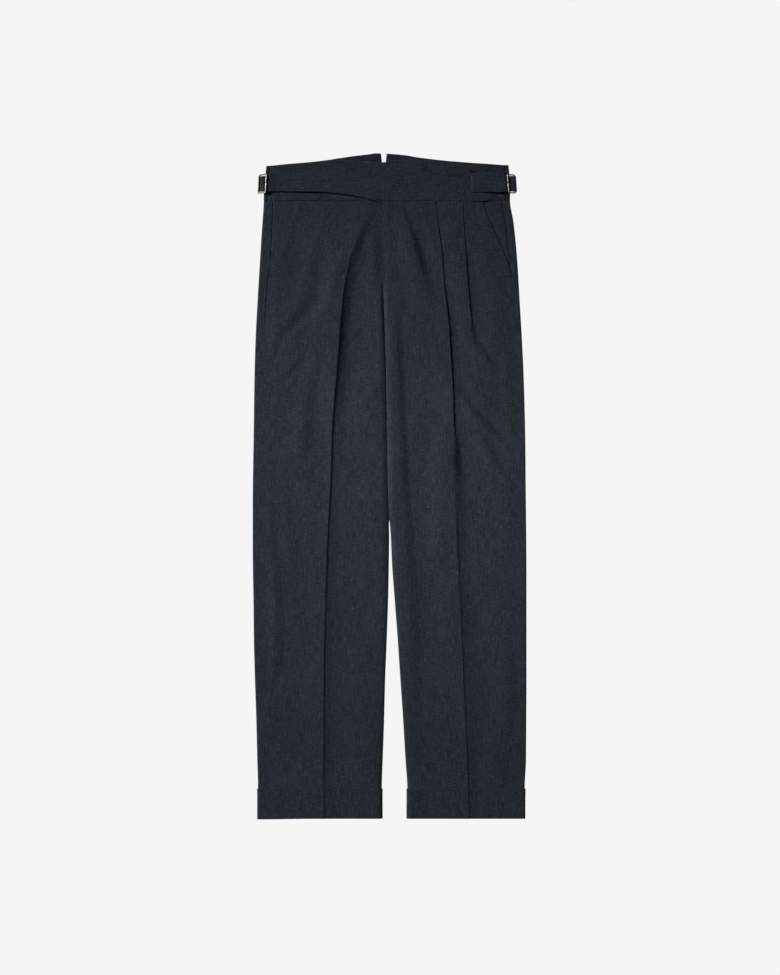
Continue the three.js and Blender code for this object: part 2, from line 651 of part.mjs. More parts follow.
function backSection(side, y) {
  const inner = innerX[side](y);
  const outer = outerX[side](y);
  const flat = [inner, lerp(inner, outer, 0.5)];
  return turnedOver(side, y, flat, outer, seamX[side](y), backZ(y), edgeAt(y), CLOTH);
}

const frontPanel = (side) => sheet(ROWS.map((y) => frontSection(side, y)), CLOTH);
const backPanel = (side) => sheet(ROWS.map((y) => backSection(side, y)), CLOTH);

// The strip between a slant pocket's mouth and the side seam, reaching under the front
function pocketFacing(side) {
  return sheet(FACING_ROWS.map((y) => {
    const from = pocketX[side](y) - side * FACING_UNDER;
    const to = seamX[side](y) - side * GAP;
    return FACING_COLUMNS.map((share) => [lerp(from, to, share), y, edgeAt(y)]);
  }), CLOTH);
}

// A turn-up goes all round its leg: the leg's own section, front and back, moved out by one layer
function turnUpLoop(side, at) {
  const y = Math.min(at, TURN_UP_TOP - TURN_UP_INSIDE);
  const back = backSection(side, y).reverse();
  back[back.length - 1][0] += (side * CLOTH) / 2;
  return moved([...frontSection(side, y), ...back], side * LAYER, true);
}
function turnUp(side) {
  const left = [];
  const right = [];
  for (const row of TURN_UP_ROWS) {
    const loop = turnUpLoop(side, row.y);
    const inwards = -side * (CLOTH / 2 + (row.lip ? LAYER : 0));
    const place = (p) => [p[0], row.y - (row.hem ? hemDrop(side, p[0]) : 0), p[2]];
    const outer = moved(loop, (side * CLOTH) / 2, true).map(place);
    const inner = moved(loop, inwards, true).map(place);
    left.push(side > 0 ? outer : inner);
    right.push(side > 0 ? inner : outer);
  }
  return shell(left, right, true);
}

// Waistband
const backTop = curve(BACK_TOP, 'y', 'x');
const frontTop = curve(FRONT_TOP, 'y', 'x');
const wrapTop = curve(WRAP_TOP, 'y', 'x');
const wrapBottom = curve(WRAP_BOTTOM, 'y', 'x');
const bandSide = { [-1]: curve(BAND_SIDES, 'right'), 1: curve(BAND_SIDES, 'left') };

function backWaistband(side) {
  const rows = BACK_BAND_ROWS.map((share) => {
    const heightAt = (x) => lerp(backTop(x), WAIST_Y, share);
    const mid = heightAt(NOTCH_X + side * NOTCH_HALF);
    const half = Math.max(GAP / 2, (NOTCH_HALF * (mid - NOTCH_Y)) / (backTop(NOTCH_X) - NOTCH_Y));
    const inner = NOTCH_X + side * half;
    const outer = bandSide[side](heightAt(side * BAND_REACH));
    const flat = BACK_BAND_COLUMNS.map((t) => lerp(inner, outer, t));
    const end = outer - side * BAND_WRAP;
    return turnedOver(side, 0, flat, outer, end, BAND / 2, UNDER_Z, BAND)
      .map(([x, , z]) => [x, heightAt(x), z]);
  });
  return sheet(rows, BAND);
}

// Right front waistband: it lies under the wrap, narrows to a strap, comes up through the wrap's slot
// and folds round the outer bar of the left buckle
const narrowed = (x) => smooth((x - STRAP_EASE.x0) / (STRAP_EASE.x1 - STRAP_EASE.x0));
const throat = (x, start, end) => smooth((x - start) / (end - start));
function strapEdges(x) {
  const top = lerp(frontTop(x), STRAP_TOP, narrowed(x));
  const bottom = lerp(WAIST_Y, STRAP_BOTTOM, narrowed(x));
  const inBuckle = throat(x, STRAP_NARROWS.x0, STRAP_NARROWS.x1);
  return {
    top: lerp(top, STRAP_IN_BUCKLE.top, inBuckle),
    bottom: lerp(bottom, STRAP_IN_BUCKLE.bottom, inBuckle),
  };
}
function underWaistband() {
  const bar = curve([
    { y: LEFT_BUCKLE[2].y, x: LEFT_BUCKLE[2].x },
    { y: LEFT_BUCKLE[3].y, x: LEFT_BUCKLE[3].x },
  ], 'x');
  const barZ = LEFT_BUCKLE[2].z;
  const round = WIRE + GAP + BAND / 2;
  const rows = BAND_ROWS.map((share) => {
    const heightAt = (x) => lerp(strapEdges(x).top, strapEdges(x).bottom, share);
    const start = bandSide[-1](heightAt(-BAND_REACH)) + BAND_WRAP + GAP;
    const along = [start, ...UNDER_X].map((x) => {
      const z = lerp(UNDER_Z, OVER_Z, throat(x, STRAP_RISE.x0, STRAP_RISE.x1));
      return [x, heightAt(x), z];
    });
    const y = heightAt(LEFT_BUCKLE[2].x);
    const bend = STRAP_BEND.map((degrees) => {
      const a = (degrees * Math.PI) / 180;
      return [bar(y) + round * Math.sin(a), y, barZ + round * Math.cos(a)];
    });
    return [...along, ...bend, [bar(y) - STRAP_RETURN, y, barZ - round]];
  });
  return sheet(rows, BAND);
}

// Left front waistband: it wraps over the right one and narrows to the strap in the right buckle
function wrapWaistband() {
  const descend = curve(WRAP_DESCENT, 'z', 'x');
  const rows = WRAP_ROWS.map((share) => [...WRAP_X, null].map((place) => {
    const edges = (x) => {
      const inBuckle = throat(-x, WRAP_NARROWS.x0, WRAP_NARROWS.x1);
      const top = x < WRAP_TOP[WRAP_TOP.length - 1].x ? wrapTop(x) : frontTop(x);
      const bottom = x < WRAP_TIP_X ? wrapBottom(x) : WAIST_Y;
      return [lerp(bottom, STRAP_IN_BUCKLE.bottom, inBuckle), lerp(top, STRAP_IN_BUCKLE.top, inBuckle)];
    };
    const heightAt = (x) => lerp(...edges(x), share);
    const x = place ?? bandSide[1](heightAt(BAND_REACH)) - BAND_WRAP - GAP;
    const z = x < 0 ? descend(x) : lerp(OVER_Z, UNDER_Z, throat(x, SLOT.x0, SLOT.x1));
    return [x, heightAt(x), z];
  }));
  const first = WRAP_X.indexOf(SLOT.x0);
  const last = WRAP_X.indexOf(SLOT.x1);
  const open = (i, j) => {
    const inRows = WRAP_ROWS[i] <= SLOT_ROW.top && WRAP_ROWS[i + 1] >= SLOT_ROW.bottom;
    return inRows && j >= first && j < last;
  };
  return sheet(rows, BAND, (i, j) => !open(i, j));
}

// A buckle: a ring of wire bent through four corners, its two ends meeting in the inner bar
function buckle(corners) {
  const at = corners.map((c) => new THREE.Vector3(c.x, c.y, c.z));
  const normal = at[2].clone().sub(at[0]).cross(at[3].clone().sub(at[1])).normalize();
  const path = [];
  at.forEach((corner, i) => {
    const before = at[(i + 3) % 4];
    const after = at[(i + 1) % 4];
    const enter = corner.clone().add(before.clone().sub(corner).setLength(CORNER));
    const leave = corner.clone().add(after.clone().sub(corner).setLength(CORNER));
    const bend = new THREE.QuadraticBezierCurve3(enter, corner, leave);
    bend.getPoints(CORNER_STEPS).forEach((p) => path.push({ p, radius: WIRE }));
    if (i > 0) return;
    for (const joint of JOINT) {
      path.push({ p: corner.clone().lerp(after, joint.share), radius: joint.radius });
    }
  });
  const n = path.length;
  const rings = path.map(({ p, radius }, i) => {
    const ahead = path[(i + 1) % n].p.clone().sub(path[(i + n - 1) % n].p).normalize();
    const across = normal.clone().cross(ahead);
    return Array.from({ length: WIRE_SIDES }, (_, k) => {
      const a = (2 * Math.PI * k) / WIRE_SIDES;
      return p.clone().addScaledVector(across, radius * Math.cos(a))
        .addScaledVector(normal, radius * Math.sin(a));
    });
  });
  const index = [];
  for (let i = 0; i < n; i += 1) {
    for (let k = 0; k < WIRE_SIDES; k += 1) {
      const a = i * WIRE_SIDES + k;
      const b = i * WIRE_SIDES + ((k + 1) % WIRE_SIDES);
      const c = ((i + 1) % n) * WIRE_SIDES + ((k + 1) % WIRE_SIDES);
      const d = ((i + 1) % n) * WIRE_SIDES + k;
      index.push(a, b, c, a, c, d);
    }
  }
  const geometry = new THREE.BufferGeometry().setFromPoints(rings.flat());
  geometry.setIndex(index);
  return geometry;
}

const trousers = new THREE.Group();
function add(name, geometry, material) {
  const mesh = new THREE.Mesh(geometry, material);
  mesh.name = name;
  trousers.add(mesh);
}
for (const side of SIDES) {
  const hand = side < 0 ? 'right' : 'left';
  add(`front_panel_${hand}`, frontPanel(side), cloth);
  add(`back_panel_${hand}`, backPanel(side), cloth);
  add(`pocket_facing_${hand}`, pocketFacing(side), cloth);
  add(`back_waistband_${hand}`, backWaistband(side), inside);
  add(`turn_up_${hand}`, turnUp(side), cloth);
}
add('front_waistband_right', underWaistband(), cloth);
add('front_waistband_left', wrapWaistband(), cloth);
add('buckle_right', buckle(RIGHT_BUCKLE), brass);
add('buckle_left', buckle(LEFT_BUCKLE), brass);

export default trousers;
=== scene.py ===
# Gurkha trousers laid flat on a pale floor, front side up, seen from straight above.
# Tables and sizes are in millimetres, in the frame's axes, and turn into metres where a mesh is made.
# Left and right are the wearer's, so the right leg is at -X. side is -1 for it and 1 for the left.
import math

import bpy
import numpy as np
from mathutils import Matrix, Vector
from mathutils.bvhtree import BVHTree


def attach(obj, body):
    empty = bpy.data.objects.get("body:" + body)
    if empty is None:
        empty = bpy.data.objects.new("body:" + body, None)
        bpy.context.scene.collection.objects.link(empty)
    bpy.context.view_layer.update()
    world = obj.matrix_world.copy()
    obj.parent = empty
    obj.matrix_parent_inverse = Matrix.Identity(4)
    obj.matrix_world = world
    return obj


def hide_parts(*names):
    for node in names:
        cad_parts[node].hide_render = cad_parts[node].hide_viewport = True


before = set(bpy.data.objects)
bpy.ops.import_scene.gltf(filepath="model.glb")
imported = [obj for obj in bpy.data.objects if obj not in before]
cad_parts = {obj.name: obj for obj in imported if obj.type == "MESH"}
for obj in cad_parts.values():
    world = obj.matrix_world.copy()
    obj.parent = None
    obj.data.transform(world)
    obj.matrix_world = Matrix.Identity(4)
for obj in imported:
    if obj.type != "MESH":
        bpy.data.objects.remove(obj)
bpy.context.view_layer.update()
MM = 0.001

# Photograph and camera. The scale holds at the height of the cloth.
PHOTO_HEIGHT = 975
MM_PER_PIXEL = 1.65
CAMERA_OFFSET = (0.66, -2.06)
LENS = 85.0
SENSOR = 36.0
CLOTH_HEIGHT = 4.0
CAMERA_SEES = 50

# Cloth and stacking
CLOTH = 0.6
BAND = 1.2
LAYER = 1.3
FOLD_STEP = 0.65
TURN = FOLD_STEP / 2
BACK_Z = 0.5
GAP = 0.3
TOUCH = 0.8
MEETING_GAP = 0.01

# Heights along the legs
WAIST_Y = 470.6
PANEL_TOP = 470.58
CROTCH_Y = 218
TURN_UP_TOP = -499.0
PANEL_END = -546.7
HEM_DIP = {"from": 120, "over": 100, "down": 40, "deep": 1.0}
BACK_CLIMB = {"above": 12, "over": 11}
POCKET_END_Y = 353
FLY_END_Y = 330
SEAM_GAP = {"low": 0.08, "high": {-1: 1.1, 1: 0.35}, "from": 240, "over": 60}
FACING_END_Y = 358
BACK_SHIFT = 1.0
FLY_UNDERLAP = 7
WAIST_LIFT = {-1: 0.0, 1: 0.9}
WAIST_LIFT_FROM = 440
FLY_LIFT_OVER = 150
UNDERLAP_EASE = 15

# Waistband
NOTCH_X = -9.5
NOTCH_Y = 505
NOTCH_HALF = 4.6
BAND_WRAP = 6
BAND_REACH = 200
SLOT = (133, 141)
SLOT_ROWS = (0.222, 0.775)
SLOT_DROP = 3.6
STRAP_TOP = 517.4
STRAP_BOTTOM = 485
STRAP_RISE = (129, 138)
STRAP_NARROWS = (184, 192.5)
WRAP_NARROWS = (196, 202.5)
STRAP_EASE = (-10, 60)
STRAP_IN_BUCKLE = (486.1, 511.9)
STRAP_RETURN = 3.4
UNDER_Z = 2.7
WRAP_Z = 4.0
WRAP_END_Z = 3.5
STRAP_Z = 4.8
TURNED_Z = 2.0
WRAP_END_EASE = (148, 188)
WRAP_TIP_X = -12.6

# Buckles, bent from wire
WIRE = 1.15
INNER_WIRE = 1.55
WIRE_CORNER = 2.1

SIDES = (-1, 1)
HAND = {-1: "right", 1: "left"}


def table(columns, rows):
    """Rows of numbers under named columns, in order of the first column. Short rows end in zeros."""
    names = columns.split()
    values = [[*row, *[0] * (len(names) - len(row))] for row in sorted(rows)]
    return dict(zip(names, np.array(values, float).T.copy()))


def curve(rows, column):
    """A smooth curve through one column of a table, that never overshoots a row."""
    at = rows[next(iter(rows))]
    value = rows[column]
    rise = np.diff(value) / np.diff(at)
    slope = np.zeros(len(at))
    before, after = rise[:-1], rise[1:]
    same = before * after > 0
    slope[1:-1][same] = 2 * before[same] * after[same] / (before[same] + after[same])

    def read(where):
        where = np.clip(where, at[0], at[-1])
        i = np.clip(np.searchsorted(at, where, side="right") - 1, 0, len(at) - 2)
        span = at[i + 1] - at[i]
        t = (where - at[i]) / span
        flat = t * t * (3 - 2 * t)
        leaving = t * (1 - t) ** 2 * span * slope[i]
        arriving = t * t * (1 - t) * span * slope[i + 1]
        return value[i] + (value[i + 1] - value[i]) * flat + leaving - arriving

    return read


def lerp(a, b, t):
    return a + (b - a) * t


def smooth(t):
    t = np.clip(t, 0, 1)
    return t * t * (3 - 2 * t)


def settle(t):
    return 1 - smooth(t)


def ease(value, start, end):
    """0 before start and 1 after end, smooth between."""
    return smooth((value - start) / (end - start))


# Outline of each leg at heights y, as drawn from above. inset is how far the side seam lies inside it.
LEG = {
    -1: table("y outer inner inset", [
        (471, -207.8, -12.5, 14), (439, -209.7, -11.9, 15.4), (406, -212, -11.4, 16.3),
        (373, -214, -10.9, 16.8), (347, -215.6, -10.5, 14.4), (307, -218, -9.9, 12.9),
        (241, -221.4, -7.5, 13.2), (175, -223.2, -6.1, 13.2), (76, -224.6, -4.5, 13.2),
        (-23, -226, -2.6, 13.2), (-88, -226, -0.6, 13.2), (-122, -225.9, -1.1, 13.2),
        (-188, -224.8, -2.4, 13.2), (-254, -224.1, -4.7, 13.2), (-320, -222.3, -7.3, 13.2),
        (-386, -220.1, -9, 13.2), (-452, -218.5, -11.3, 13.2), (-499, -217.3, -12.8, 13.2),
        (-550, -217.4, -12.6, 13.2),
    ]),
    1: table("y outer inner inset", [
        (471, 198.8, -12.2, 13.4), (439, 204.2, -11.6, 13.8), (406, 207.9, -11.1, 13.8),
        (373, 210.7, -10.6, 13.6), (347, 212.5, -10.2, 12.2), (307, 214.7, -9.6, 10.7),
        (241, 218.6, -7.2, 10.7), (175, 221.6, -5.8, 10.7), (76, 224.1, -4.2, 10.7),
        (-23, 225, -2.3, 10.7), (-88, 225.7, 2.2, 10.7), (-122, 225.9, 3.6, 10.7), (-188, 226, 8.4, 10.7),
        (-254, 226, 13.4, 10.7), (-320, 226, 17.8, 10.7), (-386, 225.7, 22.3, 10.7),
        (-452, 225.2, 26.2, 10.7), (-499, 223, 29.2, 10.7), (-550, 222.8, 29, 10.7),
    ]),
}
POCKET = {
    -1: table("y x", [
        (471, -159.6), (447, -163.2), (424, -170.8), (394, -184.0), (372, -192.8), (353, -199.4),
    ]),
    1: table("y x", [
        (471, 153.6), (453, 159.0), (424, 171.2), (394, 184.4), (372, 193.6), (353, 199.2),
    ]),
}
LEVELS = table("y level edge", [
    (471, 2.6, 2.5), (440, 3.3, 3), (400, 3.8, 3.4), (350, 3.9, 3.6), (-470, 3.9, 3.6), (-500, 4.9, 4.7),
    (-550, 4.9, 4.7),
])

# Pleats: depth is how far the fold lies back under itself, and lip scales the step at its edge. The
# right leg's face the light, pressed shut, and don't show.
PLEATS = {
    -1: [],
    1: [
        table("y x depth lip", [
            (471, 75.4, 16, 0.3), (419, 82.2, 14, 0.6), (381, 86.6, 12, 0.7), (337, 90.2, 10, 0.85),
            (268, 97.8, 8, 1), (212, 101.6, 7, 1), (155, 104.8, 6, 1), (110, 106, 4, 0.9),
            (84, 108.6, 1.2, 0.6), (62, 111.4, 0, 0.5), (42, 113.2, 0, 0.5), (-16, 112.9, 0, 0.5),
            (-84, 112.9, 0, 0.5), (-179, 118.1, 0, 0.5), (-293, 121.9, 0, 0.5), (-443, 129, 0, 0.5),
            (-550, 131.4, 0, 0.5),
        ]),
        table("y x depth lip", [
            (471, 121.2, 14, 0.3), (401, 124.9, 12, 0.4), (363, 127.5, 10, 0.75), (314, 131.2, 7, 0.75),
            (280, 134.6, 4, 0.7), (264, 137, 1.2, 0.6), (252, 140.5, 0, 0.4), (219, 159.9, 0, 0.3),
            (190, 172, 0, 0.1), (140, 176, 0, 0.1), (-550, 178, 0, 0.1),
        ]),
    ],
}

# Folds that drop towards +X, away from the light, with the columns of FALLS below: x is where the drop
# starts, wide how far it runs, half is half its height, reach how far the cloth takes to come level on
# both sides. sharp is 1 where the drop starts at a pressed edge and 0 where it is rounded.
RIGHT_FALLS = {
    "crease": [
        (462, -33, 12, 0, 30), (446, -40, 14, 0.35, 34), (424, -50, 16, 1, 40),
        (397, -59, 16, 1.4, 46, 0.2), (372, -67, 18, 1.7, 50, 0.6), (355, -70, 21, 1.9, 54, 1),
        (325, -75.5, 23, 2.2, 54, 1), (290, -79.5, 24, 2.35, 54, 1), (212, -85.5, 24, 2.15, 54, 1),
        (155, -90.2, 21, 1.7, 54, 1), (98, -94.6, 16, 1, 54, 1), (10, -97.5, 16, 0.95, 54, 1),
        (-84, -102.5, 21, 1, 54, 1), (-179, -105.3, 21, 0.95, 54, 1), (-293, -108.4, 21, 0.85, 50, 1),
        (-405, -109.9, 21, 0.75, 50, 1), (-493, -111, 20, 0.6, 46, 1), (-550, -109.1, 18, 0.5, 46, 1),
    ],
    "edge of the crease": [
        (355, -70, 2.6, 0, 8, 0.5), (325, -75.5, 2.6, 0.06, 8, 0.5), (212, -85.5, 2.6, 0.12, 8, 0.5),
        (98, -94.6, 2.6, 0.34, 8, 0.5), (10, -97.5, 2.6, 0.34, 8, 0.5), (-84, -102.5, 2.6, 0.3, 8, 0.5),
        (-293, -108.4, 2.6, 0.26, 8, 0.5), (-550, -109.1, 2.6, 0.2, 8, 0.5),
    ],
    "outer thigh": [
        (425, -124, 14, 0, 24), (375, -130, 18, 0.4, 24), (345, -135, 22, 0.65, 24),
        (317, -142, 24, 0.75, 26), (294, -153, 24, 0.65, 26), (273, -171, 22, 0.55, 24),
        (253, -188, 20, 0.5, 20), (228, -200, 17, 0.45, 16), (197, -208, 13, 0.3, 12),
        (170, -213, 10, 0, 10),
    ],
    "middle of the thigh": [
        (280, -116, 14, 0, 24), (235, -124, 18, 0.4, 24), (188, -131, 20, 0.65, 26),
        (147, -140, 22, 0.85, 26), (119, -143, 22, 0.85, 26), (66, -145, 19, 0.6, 26),
        (30, -143, 14, 0, 24),
    ],
    "beside the pleat": [
        (400, -78, 14, 0, 20), (372, -84, 16, 0.4, 22), (330, -96, 16, 0.5, 24),
        (290, -108, 16, 0.35, 24), (260, -114, 14, 0, 20),
    ],
    "side of the thigh": [
        (220, -150, 14, 0, 20), (205, -158, 16, 0.5, 22), (185, -178, 16, 0.55, 22),
        (172, -194, 14, 0, 16),
    ],
    "side of the calf": [
        (10, -196, 12, 0, 16), (-57, -202, 14, 0.45, 18), (-140, -194, 16, 0.5, 22),
        (-230, -189, 18, 0.55, 26), (-300, -194, 16, 0.5, 22), (-390, -202, 12, 0, 16),
    ],
}
LEFT_FALLS = {
    "crease": [
        (110, 103, 20, 0, 30), (86, 104, 18, 0.9, 36, 0.1), (60, 104, 16, 1.85, 46, 0.1),
        (42, 105, 16, 1.95, 50, 0.2), (14, 107, 20, 1.6, 54, 0.5), (-16, 109.5, 22, 1.5, 56, 0.9),
        (-84, 111, 24, 1.35, 56, 1), (-179, 116.5, 22, 1, 54, 1), (-293, 120.5, 21, 0.8, 50, 1),
        (-443, 127.5, 20, 0.65, 50, 1), (-550, 130, 18, 0.55, 46, 1),
    ],
    "first pleat": [
        (471, 76.4, 8, 0.05, 26, 0.8), (419, 83.2, 8, 0.12, 26, 0.8), (381, 87.6, 8, 0.12, 26, 0.8),
        (337, 91.2, 9, 0.2, 26, 0.8), (268, 98.8, 10, 0.35, 26, 0.8), (212, 102.6, 11, 0.42, 26, 0.8),
        (155, 105.8, 11, 0.42, 26, 0.8), (110, 107, 11, 0.3, 26, 0.8), (84, 109.6, 11, 0, 26, 0.8),
    ],
    "second pleat": [
        (401, 125.9, 8, 0, 20, 0.8), (363, 128.5, 9, 0.15, 20, 0.8), (314, 132.2, 10, 0.3, 22, 0.8),
        (280, 135.6, 12, 0.35, 24, 0.8), (262, 139.5, 12, 0, 24, 0.8),
    ],
    "edge of the crease": [
        (14, 106, 2.6, 0, 8, 0.5), (-84, 111, 2.6, 0.17, 8, 0.5), (-293, 120.5, 2.6, 0.18, 8, 0.5),
        (-550, 130, 2.6, 0.14, 8, 0.5),
    ],
    "end of the second pleat": [
        (272, 131, 12, 0, 24), (258, 131, 12, 0.9, 26, 0.3), (244, 134, 14, 1.15, 28, 0.1),
        (229, 141, 16, 1.2, 28), (214, 153, 16, 1.1, 28), (202, 165, 15, 0.8, 22), (190, 174, 12, 0, 16),
    ],
    "beside the fly": [
        (466, 17, 9, 0.3, 16), (440, 25, 10, 0.65, 20), (418, 33, 12, 0.95, 24), (390, 40, 16, 1.6, 30),
        (368, 45, 19, 1.9, 34), (350, 49, 21, 1.5, 36), (330, 54, 22, 0.8, 36), (300, 60, 22, 0.3, 34),
        (270, 66, 22, 0, 30),
    ],
    "under the waistband": [
        (458, 52, 9, 0, 14), (444, 56, 10, 0.5, 16), (430, 63, 11, 0.6, 16), (414, 70, 10, 0.3, 14),
        (400, 74, 9, 0, 12),
    ],
    "inseam": [
        (290, 5, 13, 0, 24), (262, 8, 13, 0.7, 34), (215, 10, 14, 1, 42), (98, 14, 16, 1.15, 50),
        (-16, 20, 18, 1.05, 54), (-179, 28, 22, 0.8, 54), (-293, 32, 24, 0.6, 54),
        (-400, 34, 24, 0.4, 50), (-480, 34, 22, 0, 44),
    ],
    "above the knee": [
        (172, 106, 12, 0, 20), (148, 115, 16, 1, 24), (124, 133, 18, 1.2, 26), (100, 155, 18, 1.1, 26),
        (78, 181, 16, 0.7, 20), (60, 206, 14, 0, 14),
    ],
    "side of the knee": [
        (96, 140, 12, 0, 20), (76, 152, 14, 0.75, 22), (44, 168, 14, 0.8, 22), (18, 184, 12, 0, 18),
    ],
    "under the pocket": [
        (334, 146, 12, 0, 18), (326, 154, 14, 0.45, 20), (320, 176, 14, 0.45, 20), (316, 200, 12, 0, 12),
    ],
}
FALLS = {
    side: {name: table("y x wide half reach sharp", rows) for name, rows in falls.items()}
    for side, falls in ((-1, RIGHT_FALLS), (1, LEFT_FALLS))
}

# Waistband outlines, at places x across it
BACK_TOP = table("x y", [
    (-208, 528.8), (-172, 532.0), (-134, 535.2), (-105, 538.5), (-84, 541.7), (-61, 545.1), (-34, 548.3),
    (-22, 550.0), (-14, 549.5), (-5, 549.3), (11, 548.2), (27, 546.6), (44, 543.6), (84, 538.6),
    (121, 535.3), (166, 532.2), (199, 530.1),
])
FRONT_TOP = table("x y", [
    (-208, 528.0), (-172, 531.3), (-134, 534.5), (-105, 537.4), (-84, 538.6), (-62, 537.8), (-26, 535.4),
    (-9, 534.7), (1, 537.3), (17, 538.6), (39, 540.6), (54, 541.0), (84, 538.0), (121, 534.7),
    (166, 531.6), (199, 529.4),
])
WRAP_TOP = table("x y", [
    (-218, 514.6), (-202, 516.0), (-164, 515.4), (-128, 516.6), (-98, 519.9), (-74, 525.1), (-49, 530.4),
    (-26, 534.6),
])
WRAP_BOTTOM = table("x y", [
    (-218, 488.0), (-202, 486.4), (-128, 486.0), (-111, 485.3), (-80, 482.5), (-65, 480.5), (-50, 477.7),
    (-34, 473.8), (-20, 469.0), (-12, 464.2),
])
BAND_SIDES = table("y right left", [
    (545, -202.6, 195.6), (528, -203.6, 196.6), (516, -205.0, 197.8), (485, -207.6, 199.2),
    (470, -207.8, 198.8),
])
WRAP_DESCENT = table("x z", [
    (-217, 0.7), (-215.8, 0.8), (-214.3, 1.7), (-212.5, 3.1), (-210, 4.0), (-206, 4.5), (-203, 4.9),
    (-199, 5.1), (-193, 4.6), (-183, WRAP_Z), (-170, WRAP_Z),
])

# Buckle corners, from above, with the height of each
BUCKLE = {
    -1: [(-202.9, 514.9, 5.45), (-204.4, 484.6, 5.45), (-217.2, 483.9, 2.6), (-215.8, 513.4, 2.6)],
    1: [(194.6, 514.0, 5.45), (197.3, 484.1, 5.45), (207.8, 484.0, 3.2), (205.8, 513.8, 3.2)],
}

outer_x, inner_edge, inset = (
    {side: curve(LEG[side], name) for side in SIDES} for name in ("outer", "inner", "inset"))
pocket_x = {side: curve(POCKET[side], "x") for side in SIDES}
base_level = curve(LEVELS, "level")
edge_at = curve(LEVELS, "edge")
crease_x = {-1: curve(FALLS[-1]["crease"], "x"), 1: curve(PLEATS[1][0], "x")}

# Lean of each leg's grain, sideways for each unit along the leg, and how far it follows the crease
GRAIN = {-1: 0.062, 1: -0.05}
GRAIN_FOLLOWS = 0.85

# Waves of the linen: shortest is a share of the longest, turn is in radians, along stretches them down
# the leg, and long ones are higher by power.
RUMPLE = {"waves": 26, "height": 0.35, "shortest": 0.25, "turn": 0.5, "along": 0.45, "power": 1.3}
RUMPLE_SEED = {"front": 7, "back": 31, "facing": 41, "under band": 51, "wrap": 61}


def seam_x(side, y):
    return outer_x[side](y) - side * inset[side](y)


def legs_apart(y):
    return inner_edge[1](y) - inner_edge[-1](y)


def legs_meet(y):
    """1 where the two legs lie closer than TOUCH, 0 from twice that."""
    return settle((legs_apart(y) - TOUCH) / TOUCH)


def inner_x(side, y):
    """Inner edge of a leg."""
    meet = (inner_edge[1](y) + inner_edge[-1](y)) / 2 + side * MEETING_GAP
    return lerp(inner_edge[side](y), meet, legs_meet(y))


def level_at(side, y):
    """Height of a front panel. The left one rises at the waist to the band that laps over."""
    return base_level(y) + WAIST_LIFT[side] * ease(y, WAIST_LIFT_FROM, WAIST_Y)


def back_z(y):
    return BACK_Z + LAYER * smooth((TURN_UP_TOP + BACK_CLIMB["above"] - y) / BACK_CLIMB["over"])


def rumple(x, y, seed, longest=90.0):
    """Faint unevenness of linen at rest, a sum of long low waves."""
    rng = np.random.default_rng(seed)
    total = np.zeros(np.broadcast(x, y).shape)
    for _ in range(RUMPLE["waves"]):
        length = longest * rng.uniform(RUMPLE["shortest"], 1.0)
        turn = rng.normal(0.0, RUMPLE["turn"])
        phase = rng.uniform(0, 2 * math.pi)
        across = np.cos(turn) * x + np.sin(turn) * y * RUMPLE["along"]
        total += (length / longest) ** RUMPLE["power"] * np.sin(2 * math.pi * across / length + phase)
    return RUMPLE["height"] * total / math.sqrt(RUMPLE["waves"])


def fall(d, row):
    """Height across one fold of FALLS, d from the place where it starts to drop."""
    t = np.clip(d / row["wide"], 0, 1)
    pressed = 1 - 2 * (1 - (1 - t) ** 2)
    rounded = 1 - 2 * smooth(t)
    core = lerp(rounded, pressed, row["sharp"])
    half_wide = row["wide"] / 2
    return row["half"] * core * settle((np.abs(d - half_wide) - half_wide) / row["reach"])


def reader(rows):
    return {name: curve(rows, name) for name in rows if name != "y"}


FALL_READERS = {side: [reader(rows) for rows in FALLS[side].values()] for side in SIDES}
PLEAT_READERS = {side: [reader(rows) for rows in PLEATS[side]] for side in SIDES}

# Pleats: the depths over which they fold, the width of the step, and how far the cloth comes level
FOLDED = 2.5
FOLDS_FROM = (0.3, 2.5)
LIP = 2.4
FOLD_RISE = 0.45
HIGH_REACH = 26
LOW_REACH = 34
PLEAT_MARGIN = 3

# Fly: the layers it lies on, its flat width, and how far the cloth takes to come level across and along
FLY_LAYERS = {-1: 1, 1: 2}
FLY_FLAT = 3
FLY_REACH = 16
FLY_RISE = 50

# How far the inner edge rolls down, where the legs are closed and where they stand open
INNER_ROLL = {
    -1: {"closed": 2.1, "open": 1.1, "reach": 7.0},
    1: {"closed": 2.3, "open": 0.7, "reach": 9.0},
}
LEGS_PART = (2, 10)

# Side seam and pocket mouth
FACING_UNDER = 9
EDGE_REACH = 20
POCKET_REACH = 9
POCKET_STEP = 0.5
FACING_SINK = 0.15
SEAM_FLAT = 2
POCKET_EASE = 10


def folded_top(side, y):
    return level_at(side, y) + FOLD_RISE


def lip_drop(g, y):
    """How far the top layer of a pleat stands over the layer beside it."""
    return 2 * FOLD_STEP * g["lip"](y)


def relief(side, x, y):
    """Unevenness and folds of a front panel, without its pleats."""
    z = rumple(x, y, RUMPLE_SEED["front"] + side)
    for f in FALL_READERS[side]:
        row = {name: read(y) for name, read in f.items()}
        z = z + fall(x - row["x"], row)
    return z


